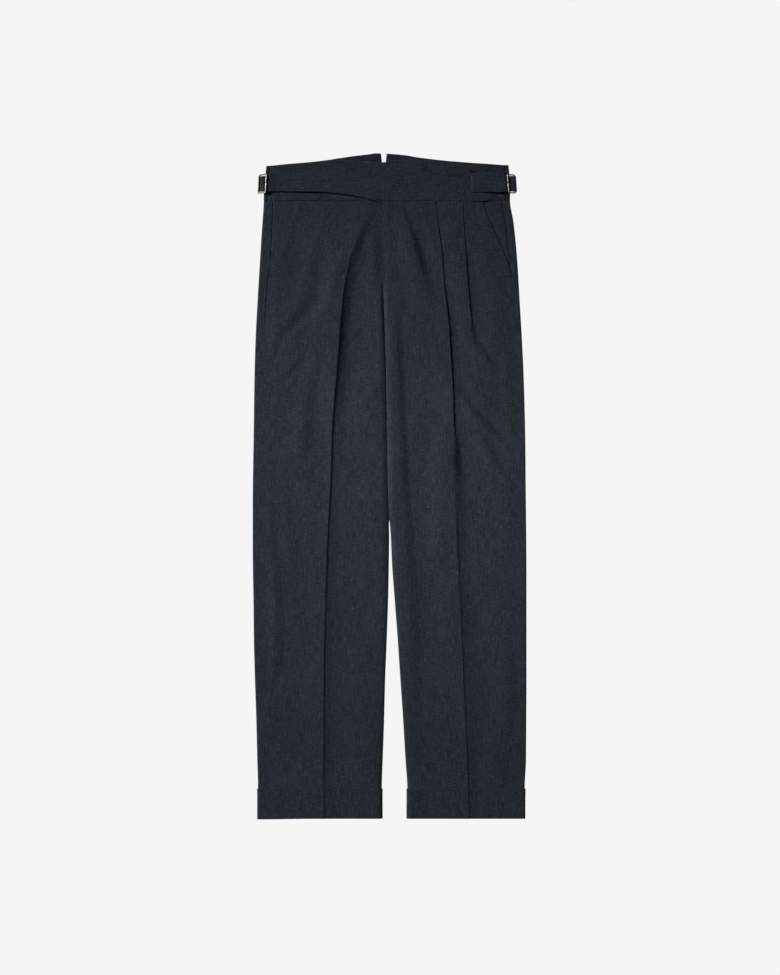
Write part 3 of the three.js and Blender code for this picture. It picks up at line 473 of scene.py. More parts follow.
def front_z(side, x, y):
    """Height of the middle of a front panel at a place, on the top layer of a pleat."""
    z = level_at(side, y) + relief(side, x, y)
    for g in PLEAT_READERS[side]:
        d = (x - g["x"](y)) * side
        depth = g["depth"](y)
        share = np.clip(depth / FOLDED, 0, 1)
        low = FOLD_RISE - lip_drop(g, y)
        above = FOLD_RISE * settle((-d - depth - PLEAT_MARGIN) / HIGH_REACH)
        below = low * settle((d - LIP) / LOW_REACH)
        step = lerp(FOLD_RISE, low, np.clip(d / LIP, 0, 1))
        z = z + share * np.where(d <= 0, above, np.where(d < LIP, step, below))
    lift = WAIST_LIFT[side] * smooth((y - FLY_END_Y) / FLY_LIFT_OVER)
    fly_z = back_z(y) + FLY_LAYERS[side] * LAYER + lift
    fly_share = smooth((y - FLY_END_Y + FLY_RISE / 2) / FLY_RISE)
    from_fly = (x - inner_x(side, y)) * side
    z = lerp(z, fly_z, fly_share * settle((from_fly - FLY_FLAT) / FLY_REACH))
    rolls = INNER_ROLL[side]
    roll = lerp(rolls["closed"], rolls["open"], ease(legs_apart(y), *LEGS_PART)) * (1 - fly_share)
    z = z - roll * np.clip(1 - from_fly / rolls["reach"], 0, 1) ** 2
    from_seam = (seam_x(side, y) - x) * side
    pocket = smooth((y - POCKET_END_Y + POCKET_EASE / 2) / POCKET_EASE)
    facing = (seam_x(side, y) - pocket_x[side](y)) * side + FACING_UNDER
    edge = edge_at(y) + POCKET_STEP * pocket
    reach = lerp(EDGE_REACH, POCKET_REACH, pocket)
    z = lerp(z, edge, settle((from_seam - facing * pocket - SEAM_FLAT) / reach))
    return np.maximum(z, back_z(y) + LAYER)


def place(x, y, z):
    return np.stack(np.broadcast_arrays(x, y, z), axis=-1).astype(float)


def section(columns, y):
    """A grid from columns of x and z at heights y."""
    xs = np.stack([x for x, _ in columns], -1)
    return place(xs, y[:, None], np.stack([np.broadcast_to(z, y.shape) for _, z in columns], -1))


def spread(a, b, count):
    """count values between a and b, without either."""
    return [lerp(a, b, k / (count + 1)) for k in range(1, count + 1)]


# Points of a pleat, as offsets outwards from its edge. Open, they are open mm away. Folded, they are over
# times its depth and turn times the fold's radius away, and down quarters of the lip's drop.
FOLD_POINTS = [
    (-15, -1, -5, 0), (-11, -0.7, -4, 0), (-7.5, -0.35, -3.2, 0), (-5, 0, -2.4, 0), (-3, 0, -1, 0),
    (-2, 0, -0.3, 0.3), (-1.3, 0, 0, 1), (-0.8, 0, -0.3, 1.7), (-0.4, 0, -1, 2), (0, -0.5, 0, 2),
    (0.4, -1, 1, 2), (0.8, -1, 0.3, 2.3), (1.3, -1, 0, 3), (2, -1, 0.3, 3.7), (3, -1, 1, 4),
    (4.5, -0.5, 0.8, 4), (7, 0, 1, 4), (11, 0, 4, 4),
]
CREASE_OFFSETS = [-16, -12, -9, -6, -4, -2.4, -1.2, -0.4, 0.3, 1.0, 2.2, 4, 6.5, 9.5, 13, 17, 21, 26]

# The inner edge of a leg curls down to the inseam. Its points are shares of CURL and of the way down.
CURL = 1.0
INSEAM_CLEAR = 0.1
CURL_EASE = {"above": 20, "over": 30}
CURL_POINTS = [(0, 1), (0.04, 0.75), (0.13, 0.5), (0.26, 0.3), (0.42, 0.16), (0.68, 0.05), (1, 0)]

# Columns between the pleats and creases, beside the pocket mouth, across the back and its turned strip
SECTION_FILL = {-1: [14, 56], 1: [38, 14, 26]}
BESIDE_MOUTH = 4
BACK_FILL = 22
STRIP_FILL = 5
STRIP_RUMPLE = 0.25


def fold_columns(side, g, y):
    edge = g["x"](y)
    depth = g["depth"](y)
    folded = ease(depth, *FOLDS_FROM)
    columns = []
    for open_by, over, turn, down in FOLD_POINTS:
        x_open = edge + side * open_by
        x_folded = edge + side * (over * depth + turn * TURN)
        z_folded = folded_top(side, y) + relief(side, x_folded, y) - down * lip_drop(g, y) / 4
        x = lerp(x_open, x_folded, folded)
        z = lerp(front_z(side, x_open, y), z_folded, folded)
        columns.append((x, z))
    return columns


def front_section(side, y):
    """Points across a front panel at heights y, from the inner edge outwards."""
    underlap = FLY_UNDERLAP * smooth((y - FLY_END_Y) / UNDERLAP_EASE) if side < 0 else 0
    inner = inner_x(side, y) + underlap
    open_share = smooth((y - SEAM_GAP["from"]) / SEAM_GAP["over"])
    seam = seam_x(side, y) - side * lerp(SEAM_GAP["low"], SEAM_GAP["high"][side], open_share)
    mouth = side * np.minimum(side * pocket_x[side](y), side * seam)
    outer = np.where(y > POCKET_END_Y, mouth, seam)
    curl = smooth((CROTCH_Y + CURL_EASE["above"] - y) / CURL_EASE["over"])
    half = CLOTH / 2
    roll_top = front_z(side, inner + side * (CURL + half), y)
    seam_z = back_z(y) + half + GAP + INSEAM_CLEAR
    columns = []
    for share, down in CURL_POINTS:
        x = inner + side * CURL * share
        z = lerp(front_z(side, x, y), lerp(roll_top, seam_z, down), curl)
        columns.append((x + side * half * curl, z))
    groups = [fold_columns(side, g, y) for g in PLEAT_READERS[side]]
    if side < 0:
        middle = crease_x[side](y)
        xs = [middle + offset for offset in reversed(CREASE_OFFSETS)]
        groups.insert(0, [(x, front_z(side, x, y)) for x in xs])
    over_facing = outer - side * (FACING_UNDER + 1)
    xs = [over_facing, *spread(over_facing, outer, BESIDE_MOUTH), outer]
    groups.append([(x, front_z(side, x, y)) for x in xs])
    for group, count in zip(groups, SECTION_FILL[side]):
        for x in spread(columns[-1][0], group[0][0], count):
            columns.append((x, front_z(side, x, y)))
        columns.extend(group)
    return section(columns, y)


def arc_over(side, outer, low_z, high_z, wall, steps=10):
    """A layer turning over a side edge, from its lower height to its upper one."""
    radius = (high_z - low_z) / 2
    centre = outer - side * (radius + wall / 2)
    angles = [math.pi * k / steps for k in range(steps + 1)]
    return [(centre + side * radius * math.sin(a), low_z + radius * (1 - math.cos(a))) for a in angles]


def back_section(side, y):
    """Points across a back panel at heights y, over the outer edge to the side seam."""
    inner = inner_x(side, y) + BACK_SHIFT * legs_meet(y)
    outer, end = outer_x[side](y), seam_x(side, y)
    low, high = back_z(y), edge_at(y)
    arc = arc_over(side, outer, low, high, CLOTH)
    flat = [(x, low) for x in [inner, *spread(inner, arc[0][0], BACK_FILL)]]
    seed = RUMPLE_SEED["back"] + side
    strip = [(x, high + STRIP_RUMPLE * rumple(x, y, seed)) for x in spread(arc[-1][0], end, STRIP_FILL)]
    return section([*flat, *arc, *strip, (end, high)], y)


# Rounding of a cloth's edge: share of half the wall inwards, and share of the wall's thickness there
BORDER_ROUND = [(0, 0), (0.3, 0.714), (1, 1)]
SHARP_EDGE = math.radians(55)


def rounded_border(grid, wall, closed):
    """The grid with two more lines inside each open border, and the share of the wall at each point.

    The second share counts the side borders alone.
    """
    shares = []
    for axis, wanted in ((0, True), (1, not closed)):
        share = np.ones(grid.shape[axis])
        if wanted:
            grid = np.moveaxis(grid, axis, 0)
            for _ in range(2):
                edge, inside = grid[0], grid[1]
                way = inside - edge
                size = np.linalg.norm(way, axis=-1, keepdims=True)
                step = way / np.maximum(size, 1e-6) * np.minimum(wall / 2, size * 0.6)
                added = [(edge + at * step)[None] for at, _ in BORDER_ROUND]
                grid = np.concatenate([*added, grid[1:]])
                share = np.concatenate([[thick for _, thick in BORDER_ROUND], share[1:]])
                grid, share = grid[::-1], share[::-1]
            grid = np.moveaxis(grid, 0, axis)
        shares.append(share)
    return grid, shares[0][:, None] * shares[1][None, :], np.broadcast_to(shares[1], grid.shape[:2])


def grid_normals(grid, closed):
    if closed:
        along = np.roll(grid, -1, axis=1) - np.roll(grid, 1, axis=1)
    else:
        along = np.gradient(grid, axis=1)
    down = np.gradient(grid, axis=0)
    normal = np.cross(down, along)
    size = np.linalg.norm(normal, axis=-1, keepdims=True)
    return normal / np.maximum(size, 1e-9)


def add_object(name, data):
    made = bpy.data.objects.new(name, data)
    bpy.context.scene.collection.objects.link(made)
    return made


def make_mesh(name, points, faces, weave=None, sharp=True):
    mesh = bpy.data.meshes.new(name)
    mesh.from_pydata((np.array(points) * MM).tolist(), [], faces)
    if weave is not None:
        attribute = mesh.attributes.new("weave", "FLOAT_VECTOR", "POINT")
        attribute.data.foreach_set("vector", (weave * MM).astype(np.float32).ravel())
    mesh.shade_smooth()
    if sharp:
        mesh.set_sharp_from_angle(angle=SHARP_EDGE)
    return add_object(name, mesh)


def shell(name, grid, wall, closed=False, weave=None, hole=None, flat_sides=0):
    """A thin closed shell of cloth about a grid whose rows run down and columns towards +X.

    closed joins the last column to the first. hole marks cells to leave out. weave gives each point's
    place in the cloth, across and along the grain. flat_sides keeps one face level up to the side
    borders, 1 for the face that the grid's normals leave and -1 for the other.
    """
    stacked = np.concatenate([grid, weave], axis=-1)
    stacked, share, side_share = rounded_border(stacked, wall, closed)
    grid, weave = stacked[..., :3], stacked[..., 3:]
    normal = grid_normals(grid, closed)
    m, n = share.shape
    offset = normal * (share * wall / 2)[..., None]
    if flat_sides:
        grid = grid + flat_sides * normal * ((1 - side_share) * wall / 2)[..., None]
    top = np.arange(m * n).reshape(m, n)
    bottom = np.where(share > 0, top + m * n, top)
    upper, lower = grid + offset, grid - offset
    points = np.concatenate([upper.reshape(-1, 3), lower.reshape(-1, 3)])
    cloth = np.concatenate([weave.reshape(-1, 2)] * 2)
    cells = np.ones((m - 1, n if closed else n - 1), bool)
    if hole is not None:
        cells &= ~hole
    rows, cols = np.nonzero(cells)
    right = (cols + 1) % n
    corners = [(rows, cols), (rows + 1, cols), (rows + 1, right), (rows, right)]
    quads = [
        np.stack([top[corner] for corner in corners], -1),
        np.stack([bottom[corners[n]] for n in (0, 3, 2, 1)], -1),
    ]
    if hole is not None:
        quads.append(hole_walls(hole, top, bottom))
    faces = np.concatenate(quads)
    used, flat = np.unique(faces, return_inverse=True)
    faces = flat.reshape(faces.shape)
    cloth = np.concatenate([cloth, np.zeros((len(cloth), 1))], axis=1)
    return make_mesh(name, points[used], faces.tolist(), cloth[used])


def hole_walls(hole, top, bottom):
    """Walls round a rectangular block of missing cells."""
    rows, cols = np.nonzero(hole)
    i0, i1, j0, j1 = rows.min(), rows.max() + 1, cols.min(), cols.max() + 1
    ring = [(i0, j) for j in range(j0, j1)] + [(i, j1) for i in range(i0, i1)]
    ring += [(i1, j) for j in range(j1, j0, -1)] + [(i, j0) for i in range(i1, i0, -1)]
    return np.array([[top[a], bottom[a], bottom[b], top[b]] for a, b in zip(ring, ring[1:] + ring[:1])])


def leg_weave(side, grid):
    """Place of each point in the leg's cloth, across and along its grain."""
    x, y = grid[..., 0], grid[..., 1]
    across = x - crease_x[side](y) * GRAIN_FOLLOWS
    along = y + GRAIN[side] * x
    return np.stack([across, along], axis=-1)


def finish_piece(piece, material, nodes=()):
    piece.data.materials.append(material)
    if nodes:
        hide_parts(*nodes)
    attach(piece, "root")


def in_order(side, grid):
    """The grid with its columns running towards +X."""
    return grid if side > 0 else grid[:, ::-1]


# Share of rumple in cloth that is held flat
FLAT_RUMPLE = 0.1

# Heights of the rows of points, closer where the turn-up starts
FRONT_ROWS = np.concatenate([
    np.linspace(PANEL_TOP, 250, 78),
    np.linspace(247, TURN_UP_TOP + 16, 146),
    np.linspace(TURN_UP_TOP + 13, TURN_UP_TOP - 3, 6),
    np.linspace(TURN_UP_TOP - 8, PANEL_END, 6),
])
BACK_ROWS = np.concatenate([
    np.linspace(PANEL_TOP, TURN_UP_TOP + 16, 110),
    np.linspace(TURN_UP_TOP + 13, TURN_UP_TOP - 3, 6),
    np.linspace(TURN_UP_TOP - 10, PANEL_END, 4),
])


def leg_cloth(side, kind, node, grid, material, flat_sides=0):
    grid = in_order(side, grid)
    hand = HAND[side]
    piece = shell(f"{kind}_{hand}_cloth", grid, CLOTH, weave=leg_weave(side, grid), flat_sides=flat_sides)
    finish_piece(piece, material, [f"{node}_{hand}"])


def front_panel(side, material):
    grid = front_section(side, FRONT_ROWS)
    leg_cloth(side, "front", "front_panel", grid, material, flat_sides=1)


def back_panel(side, material):
    grid = back_section(side, BACK_ROWS)
    leg_cloth(side, "back", "back_panel", grid, material, flat_sides=-1)


def pocket_facing(side, material):
    y = np.linspace(PANEL_TOP, FACING_END_Y, 40)
    start = pocket_x[side](y) - side * FACING_UNDER
    end = seam_x(side, y) - side * SEAM_GAP["high"][side]
    xs = np.stack([start, *spread(start, end, 12), end], -1)
    swell = FLAT_RUMPLE * rumple(xs, y[:, None], RUMPLE_SEED["facing"] + side)
    grid = place(xs, y[:, None], edge_at(y)[:, None] - FACING_SINK + swell)
    leg_cloth(side, "pocket_facing", "pocket_facing", grid, material)


def moved_out(loop, distance):
    """A closed loop of points moved square to it in the xz plane, to the right of its travel."""
    ahead = np.roll(loop, -1, axis=1) - loop
    behind = loop - np.roll(loop, 1, axis=1)
    for way in (ahead, behind):
        way[..., 1] = 0
        way /= np.maximum(np.linalg.norm(way, axis=-1, keepdims=True), 1e-9)
    way = ahead + behind
    way /= np.maximum(np.linalg.norm(way, axis=-1, keepdims=True), 1e-9)
    square = np.stack([way[..., 2], np.zeros_like(way[..., 0]), -way[..., 0]], axis=-1)
    return loop + square * distance


# Turn-up: its rows, the closing curve at the hem with shares of a layer, how far its top stands off, and
# the shift of its weave against the leg's
TURN_UP_ROWS = np.array([-499, -500.2, -502, -506, -511, -517, -523, -529, -535, -540, -544, -546.6])
HEM_CURVE = [(-547.7, 0.96), (-548.15, 0.72), (-548.3, 0.4), (-548.2, 0.1)]
TURN_UP_STAND = {"high": 0.25, "over": 6}
TURN_UP_GRAIN = 37


def turn_up(side, material):
    """The turn-up: the leg's own section moved out by a layer, closing under at the hem."""
    at = np.minimum(TURN_UP_ROWS, TURN_UP_TOP - 1)
    y = np.concatenate([at, [at[-1]] * len(HEM_CURVE)])
    front = front_section(side, y)
    back = back_section(side, y)[:, ::-1]
    loop = np.concatenate([front, back[:, 1:-1]], axis=1)
    out = np.array([1.0] * len(TURN_UP_ROWS) + [share for _, share in HEM_CURVE])
    drop = np.concatenate([TURN_UP_ROWS, [row for row, _ in HEM_CURVE]])
    stand = TURN_UP_STAND["high"] * np.exp(-(TURN_UP_ROWS[0] - drop) / TURN_UP_STAND["over"])
    distance = (LAYER * out + stand)[:, None, None]
    grid = moved_out(loop, -side * distance)
    dip = HEM_DIP["deep"] * smooth((-grid[..., 0] - HEM_DIP["from"]) / HEM_DIP["over"]) if side < 0 else 0
    grid[..., 1] = drop[:, None] - dip * smooth((TURN_UP_TOP - drop[:, None]) / HEM_DIP["down"])
    grid[..., 2] = np.maximum(grid[..., 2], CLOTH / 2)
    grid = in_order(side, grid)
    weave = leg_weave(side, grid)
    weave[..., 0] += TURN_UP_GRAIN
    piece = shell(f"turn_up_{HAND[side]}_cloth", grid, CLOTH, closed=True, weave=weave)
    finish_piece(piece, material, [f"turn_up_{HAND[side]}"])


# Waistband
back_top = curve(BACK_TOP, "y")
front_top = curve(FRONT_TOP, "y")
wrap_top = curve(WRAP_TOP, "y")
wrap_bottom = curve(WRAP_BOTTOM, "y")
wrap_descent = curve(WRAP_DESCENT, "z")
band_side = {-1: curve(BAND_SIDES, "right"), 1: curve(BAND_SIDES, "left")}


def band_weave(grid, shift=0.0):
    """Waistbands are cut along the cloth, so the grain runs across the trousers."""
    return np.stack([grid[..., 1] + shift, grid[..., 0]], axis=-1)


def back_waistband(side, material):
    rows = []
    for share in np.linspace(0, 1, 26):
        def height(x):
            return lerp(back_top(x), WAIST_Y, share)

        middle = height(NOTCH_X + side * NOTCH_HALF)
        half = max(GAP / 2, NOTCH_HALF * (middle - NOTCH_Y) / (back_top(NOTCH_X) - NOTCH_Y))
        inner = NOTCH_X + side * half
        outer = float(band_side[side](height(side * BAND_REACH)))
        arc = arc_over(side, outer, BAND / 2, TURNED_Z, BAND)
        end = outer - side * BAND_WRAP
        flat = [(x, BAND / 2) for x in [inner, *spread(inner, arc[0][0], 44)]]
        columns = [*flat, *arc, ((arc[-1][0] + end) / 2, TURNED_Z), (end, TURNED_Z)]
        rows.append([(x, float(height(x)), z) for x, z in columns])
    grid = in_order(side, np.array(rows, float))
    piece = shell(f"back_band_{HAND[side]}_cloth", grid, BAND, weave=band_weave(grid, shift=90))
    node = f"back_waistband_{HAND[side]}"
    finish_piece(piece, material, [node])


def strap_edges(x):
    narrowed = ease(x, *STRAP_EASE)
    top = lerp(front_top(x), STRAP_TOP, narrowed)
    bottom = lerp(WAIST_Y, STRAP_BOTTOM, narrowed)
    in_buckle = ease(x, *STRAP_NARROWS)
    return lerp(bottom, STRAP_IN_BUCKLE[0], in_buckle), lerp(top, STRAP_IN_BUCKLE[1], in_buckle)


# Columns of the under band, closer where it bends, and the angles of its fold round the bar
UNDER_X = np.concatenate([
    np.linspace(-196, -20, 60), np.linspace(-17, 62, 34), np.linspace(66, 130, 18),
    np.linspace(131.5, 142, 9), np.linspace(145, 183, 14), np.linspace(184.5, 202, 18),
])
STRAP_BEND = np.radians(np.linspace(-8, 180, 17))

# A strap under a buckle's inner bar: its height there, how wide the dip is, and how it rises beyond.
# The under band comes up from its turned start over START_EASE, and lies flat from SWELL_ENDS.
PRESSED_Z = 3.25
PRESS_REACH = 2.6
BEYOND_BAR = {"rise": 0.35, "over": 4}
START_EASE = 14
SWELL_ENDS = (120, 180)


def pressed_under(side, x, y, z):
    """Height of a strap with the dip where the buckle's inner bar presses on it."""
    high, low = BUCKLE[side][0], BUCKLE[side][1]
    from_bar = (x - lerp(low[0], high[0], (y - low[1]) / (high[1] - low[1]))) * side
    z = z + BEYOND_BAR["rise"] * smooth(from_bar / BEYOND_BAR["over"]) if side > 0 else z
    return lerp(z, PRESSED_Z, np.exp(-(from_bar / PRESS_REACH) ** 2))


def under_waistband(material):
    """Narrows to a strap, comes up through the wrap's slot and folds round the left buckle's bar."""
    low, high = BUCKLE[1][2], BUCKLE[1][3]
    bar_z = low[2]
    round_bar = WIRE + GAP + BAND / 2
    rows = []
    for share in np.linspace(1, 0, 24):
        def height(x):
            bottom, top = strap_edges(x)
            return lerp(bottom, top, share)

        start = float(band_side[-1](height(-BAND_REACH))) + BAND_WRAP + GAP
        x = np.concatenate([[start], UNDER_X])
        rise = ease(x, *STRAP_RISE)
        started = lerp(TURNED_Z, UNDER_Z, smooth((x - start) / START_EASE))
        swell = FLAT_RUMPLE * rumple(x, height(x), RUMPLE_SEED["under band"], 40)
        z = lerp(started, STRAP_Z, rise) + swell * (1 - ease(x, *SWELL_ENDS))
        z = pressed_under(1, x, height(x), z)
        y_bar = float(height(low[0]))
        bar_x = lerp(low[0], high[0], (y_bar - low[1]) / (high[1] - low[1]))
        bend = [(bar_x + round_bar * math.sin(a), bar_z + round_bar * math.cos(a)) for a in STRAP_BEND]
        back = [(bar_x - STRAP_RETURN * t, bar_z - round_bar) for t in (0.5, 1)]
        rows.append([*zip(x, height(x), z), *[(bx, y_bar, bz) for bx, bz in bend + back]])
    grid = np.array(rows, float)
    piece = shell("under_band_cloth", grid, BAND, weave=band_weave(grid))
    finish_piece(piece, material, ["front_waistband_right"])


# The wrap's rows, as shares of its height, and columns, close together where it bends or is cut
WRAP_ROWS = np.array([
    1, 0.985, 0.96, 0.92, 0.87, 0.82, SLOT_ROWS[1], 0.72, 0.66, 0.6, 0.54, 0.48, 0.42, 0.36, 0.3, 0.26,
    SLOT_ROWS[0], 0.19, 0.155, 0.11, 0.07, 0.035, 0.015, 0,
])
WRAP_X = np.concatenate([
    np.linspace(-217, -195, 28), np.linspace(-192, -52, 48), np.linspace(-49, -16, 16),
    [-14.2, -13.0, -12.8, -12.4, -11], np.linspace(-8, 124, 46), [126, 128, 130, 131.4, 132.2],
    [133, 133.8, 134.8, 136, 138, 141], np.linspace(144, 188, 15),
])

# The wrap's free lower edge stands up by WRAP_LIFT between these places, and its tail drops over END_DROP
WRAP_LIFT = 1.2
WRAP_FREE = {"in": (-190, -130), "out": (-25, -10), "rows": 0.5}
WRAP_SWELL = {"height": 0.3, "longest": 60, "in": (-190, -170), "out": (120, 140)}
END_DROP = 45
SLOT_EDGE = 0.8


def wrap_waistband(material):
    """Wraps over the right half, holds the slot, and narrows to a strap in the right buckle."""
    rows = []
    for share in WRAP_ROWS:
        def height(x):
            x = np.asarray(x, float)
            in_buckle = ease(-x, *WRAP_NARROWS)
            top = np.where(x < WRAP_TOP["x"][-1], wrap_top(x), front_top(x))
            bottom = np.where(x < WRAP_TIP_X, wrap_bottom(x), WAIST_Y)
            low = lerp(bottom, STRAP_IN_BUCKLE[0], in_buckle)
            return lerp(low, lerp(top, STRAP_IN_BUCKLE[1], in_buckle), share)

        end = float(band_side[1](height(BAND_REACH))) - BAND_WRAP - GAP
        x = np.concatenate([WRAP_X, [end]])
        ended = ease(x, *WRAP_END_EASE)
        drop_over = SLOT_DROP if SLOT_ROWS[0] <= share <= SLOT_ROWS[1] else END_DROP
        dropped = smooth((x - SLOT[0] + SLOT_EDGE) / drop_over)
        flat = lerp(WRAP_Z, lerp(WRAP_END_Z, TURNED_Z, ended), dropped)
        z = pressed_under(-1, x, height(x), np.where(x < 0, wrap_descent(x), flat))
        free = ease(x, *WRAP_FREE["in"]) * (1 - ease(x, *WRAP_FREE["out"]))
        z = z + WRAP_LIFT * free * settle(share / WRAP_FREE["rows"])
        swell = WRAP_SWELL["height"] * rumple(x, height(x), RUMPLE_SEED["wrap"], WRAP_SWELL["longest"])
        z = z + swell * ease(x, *WRAP_SWELL["in"]) * (1 - ease(x, *WRAP_SWELL["out"]))
        rows.append(list(zip(x, height(x), z)))
    grid = np.array(rows, float)
    piece = shell("wrap_band_cloth", grid, BAND, weave=band_weave(grid, shift=40), hole=slot_cells(grid))
    finish_piece(piece, material, ["front_waistband_left"])


def slot_cells(grid):
    """Cells of the wrap's grid that are open, once its borders have their two more lines."""
    border = 2
    column = {x: n + border for n, x in enumerate(WRAP_X)}
    hole = np.zeros((grid.shape[0] + 2 * border - 1, grid.shape[1] + 2 * border - 1), bool)
    for i in range(len(WRAP_ROWS) - 1):
        if WRAP_ROWS[i] <= SLOT_ROWS[1] and WRAP_ROWS[i + 1] >= SLOT_ROWS[0]:
            hole[i + border, column[SLOT[0]]:column[SLOT[1]]] = True
    return hole


# Where the wire's two ends meet: share of the inner bar's length, and of the wire's width
WIRE_ENDS = [
    (0.455, 1), (0.468, 0.94), (0.476, 0.73), (0.48, 0.62), (0.484, 0.73), (0.492, 0.94), (0.505, 1),
]
WIRE_SIDES = 20


def tube(points, radii, across, up, sides, closed):
    """Rings of points round a path, and the faces between them."""
    angles = (2 * math.pi * np.arange(sides) / sides)[:, None]
    ring = across[:, None] * np.cos(angles) + up * np.sin(angles)
    n = len(points)
    i, k = np.meshgrid(np.arange(n if closed else n - 1), np.arange(sides), indexing="ij")
    after, beside = (i + 1) % n, (k + 1) % sides
    faces = np.stack([i * sides + k, i * sides + beside, after * sides + beside, after * sides + k], -1)
    faces = faces.reshape(-1, 4).tolist()
    if not closed:
        faces += [list(range(sides))[::-1], list(range((n - 1) * sides, n * sides))]
    return (points[:, None] + radii[:, None, None] * ring).reshape(-1, 3), faces


def buckle(side, material):
    """A ring of wire bent through four corners, its two ends meeting in the inner bar."""
    corners = np.array(BUCKLE[side], float)
    normal = np.cross(corners[2] - corners[0], corners[3] - corners[1])
    normal /= np.linalg.norm(normal)
    path = []
    for i, corner in enumerate(corners):
        before = corners[(i + 3) % 4] - corner
        span = corners[(i + 1) % 4] - corner
        enter = corner + before / np.linalg.norm(before) * WIRE_CORNER
        leave = corner + span / np.linalg.norm(span) * WIRE_CORNER
        widths = {0: (WIRE, INNER_WIRE), 1: (INNER_WIRE, WIRE)}.get(i, (WIRE, WIRE))
        for t in np.linspace(0, 1, 9):
            bent = (1 - t) ** 2 * enter + 2 * t * (1 - t) * corner + t * t * leave
            path.append((bent, lerp(*widths, t)))
        along = [(0.2, 1), (0.35, 1), *(WIRE_ENDS if i == 0 else []), (0.65, 1), (0.8, 1)]
        path += [(corner + span * share, widths[1] * narrowed) for share, narrowed in along]
    points = np.array([p for p, _ in path])
    ahead = np.roll(points, -1, axis=0) - np.roll(points, 1, axis=0)
    across = np.cross(normal, ahead / np.linalg.norm(ahead, axis=1, keepdims=True))
    ring, faces = tube(points, np.array([r for _, r in path]), across, normal, WIRE_SIDES, True)
    piece = make_mesh(f"buckle_{HAND[side]}_ring", ring, faces)
    finish_piece(piece, material, [f"buckle_{HAND[side]}"])


# Sewing that shows. across lays the stitches square to their path.
STITCH = {
    "fly": {"pitch": 3.1, "long": 2.5, "thick": 0.45, "across": False},
    "slot": {"pitch": 3.1, "long": 2.5, "thick": 0.42, "across": False},
    "tack": {"pitch": 0.55, "long": 2.0, "thick": 0.6, "across": True},
    "eyelet": {"long": 1.7, "thick": 0.5},
}

# Each row: the path in x and y, the pieces it lies on, and its stitch
THREADS = {
    "fly_stitch": ([
        (22.1, 466), (26, 431), (30.4, 398), (32, 370), (30.4, 350), (23, 334.5), (10.6, 324.6),
        (-2.6, 322.3), (-7.5, 322.6),
    ], ["front_left_cloth"], "fly"),
    "slot_stitch": ([(126.1, 530), (126.1, 474)], ["wrap_band_cloth"], "slot"),
    "pocket_tack_left": (
        [(188.4, 346.6), (201.2, 346.6)], ["front_left_cloth", "back_left_cloth"], "tack"),
    "pocket_tack_right": (
        [(-201.2, 346.6), (-189.0, 346.6)], ["front_right_cloth", "back_right_cloth"], "tack"),
}
EYELETS = {
    "eyelet_left": ((168.8, 499.7), "under_band_cloth"),
    "eyelet_right": ((-181.5, 498.2), "wrap_band_cloth"),
}
EYELET_RADIUS = 1.5
EYELET_STEPS = 22
THREAD_RINGS = 7
THREAD_SIDES = 8
THREAD_TIP = 0.3
UP = np.array([0.0, 0.0, 1.0])

# Height of a thread's middle and ends over the cloth, as shares of its thickness
THREAD_RISE = 0.3
THREAD_SUNK = 0.12


def top_of(names):
    """A reader of the highest point of some pieces at a place, in mm."""
    trees = []
    for name in names:
        mesh = bpy.data.objects[name].data
        corners = [vertex.co[:] for vertex in mesh.vertices]
        trees.append(BVHTree.FromPolygons(corners, [face.vertices[:] for face in mesh.polygons]))

    def read(x, y):
        start = Vector((x * MM, y * MM, 1.0))
        hits = [tree.ray_cast(start, Vector((0, 0, -1)))[0] for tree in trees]
        return max((hit.z / MM for hit in hits if hit), default=CLOTH_HEIGHT)

    return read


def along_path(path, pitch):
    """Places at an even pitch along a path, each with its direction."""
    path = np.array(path, float)
    length = np.concatenate([[0], np.cumsum(np.linalg.norm(np.diff(path, axis=0), axis=1))])
    rows = {"s": length, "x": path[:, 0], "y": path[:, 1]}
    read_x, read_y = curve(rows, "x"), curve(rows, "y")
    at = np.arange(pitch / 2, length[-1], pitch)
    near = 0.3
    way = np.stack([read(at + near) - read(at - near) for read in (read_x, read_y)], -1)
    return np.stack([read_x(at), read_y(at)], -1), way / np.linalg.norm(way, axis=1, keepdims=True)


def thread_mesh(name, places, ways, on, stitch, material):
    """Short rounded lengths of thread that lie in the cloth's surface, in one mesh."""
    top, thick = top_of(on), stitch["thick"]
    along = (np.linspace(0, 1, THREAD_RINGS) - 0.5) * stitch["long"]
    swell = np.sin(math.pi * np.linspace(0, 1, THREAD_RINGS))
    rise = thick * (THREAD_RISE * swell - THREAD_SUNK)
    radii = thick / 2 * lerp(THREAD_TIP, 1, swell)
    points, faces = [], []
    for (x, y), way in zip(places, ways):
        centres = [(cx, cy, top(cx, cy)) for cx, cy in zip(x + way[0] * along, y + way[1] * along)]
        across = np.array([[-way[1], way[0], 0.0]] * THREAD_RINGS)
        middle = np.array(centres) + rise[:, None] * UP
        ring, made = tube(middle, radii, across, UP, THREAD_SIDES, False)
        faces += [[corner + len(points) for corner in face] for face in made]
        points += ring.tolist()
    finish_piece(make_mesh(name, points, faces, sharp=False), material)


def sewing(material):
    for name, (path, on, kind) in THREADS.items():
        stitch = STITCH[kind]
        places, ways = along_path(path, stitch["pitch"])
        if stitch["across"]:
            ways = ways[:, ::-1] * (-1, 1)
        thread_mesh(name, places, ways, on, stitch, material)
    angles = 2 * math.pi * np.arange(EYELET_STEPS) / EYELET_STEPS
    ways = np.stack([np.cos(angles), np.sin(angles)], -1)
    for name, (middle, on) in EYELETS.items():
        places = np.array(middle) + EYELET_RADIUS * ways
        thread_mesh(name, places, ways, [on], STITCH["eyelet"], material)


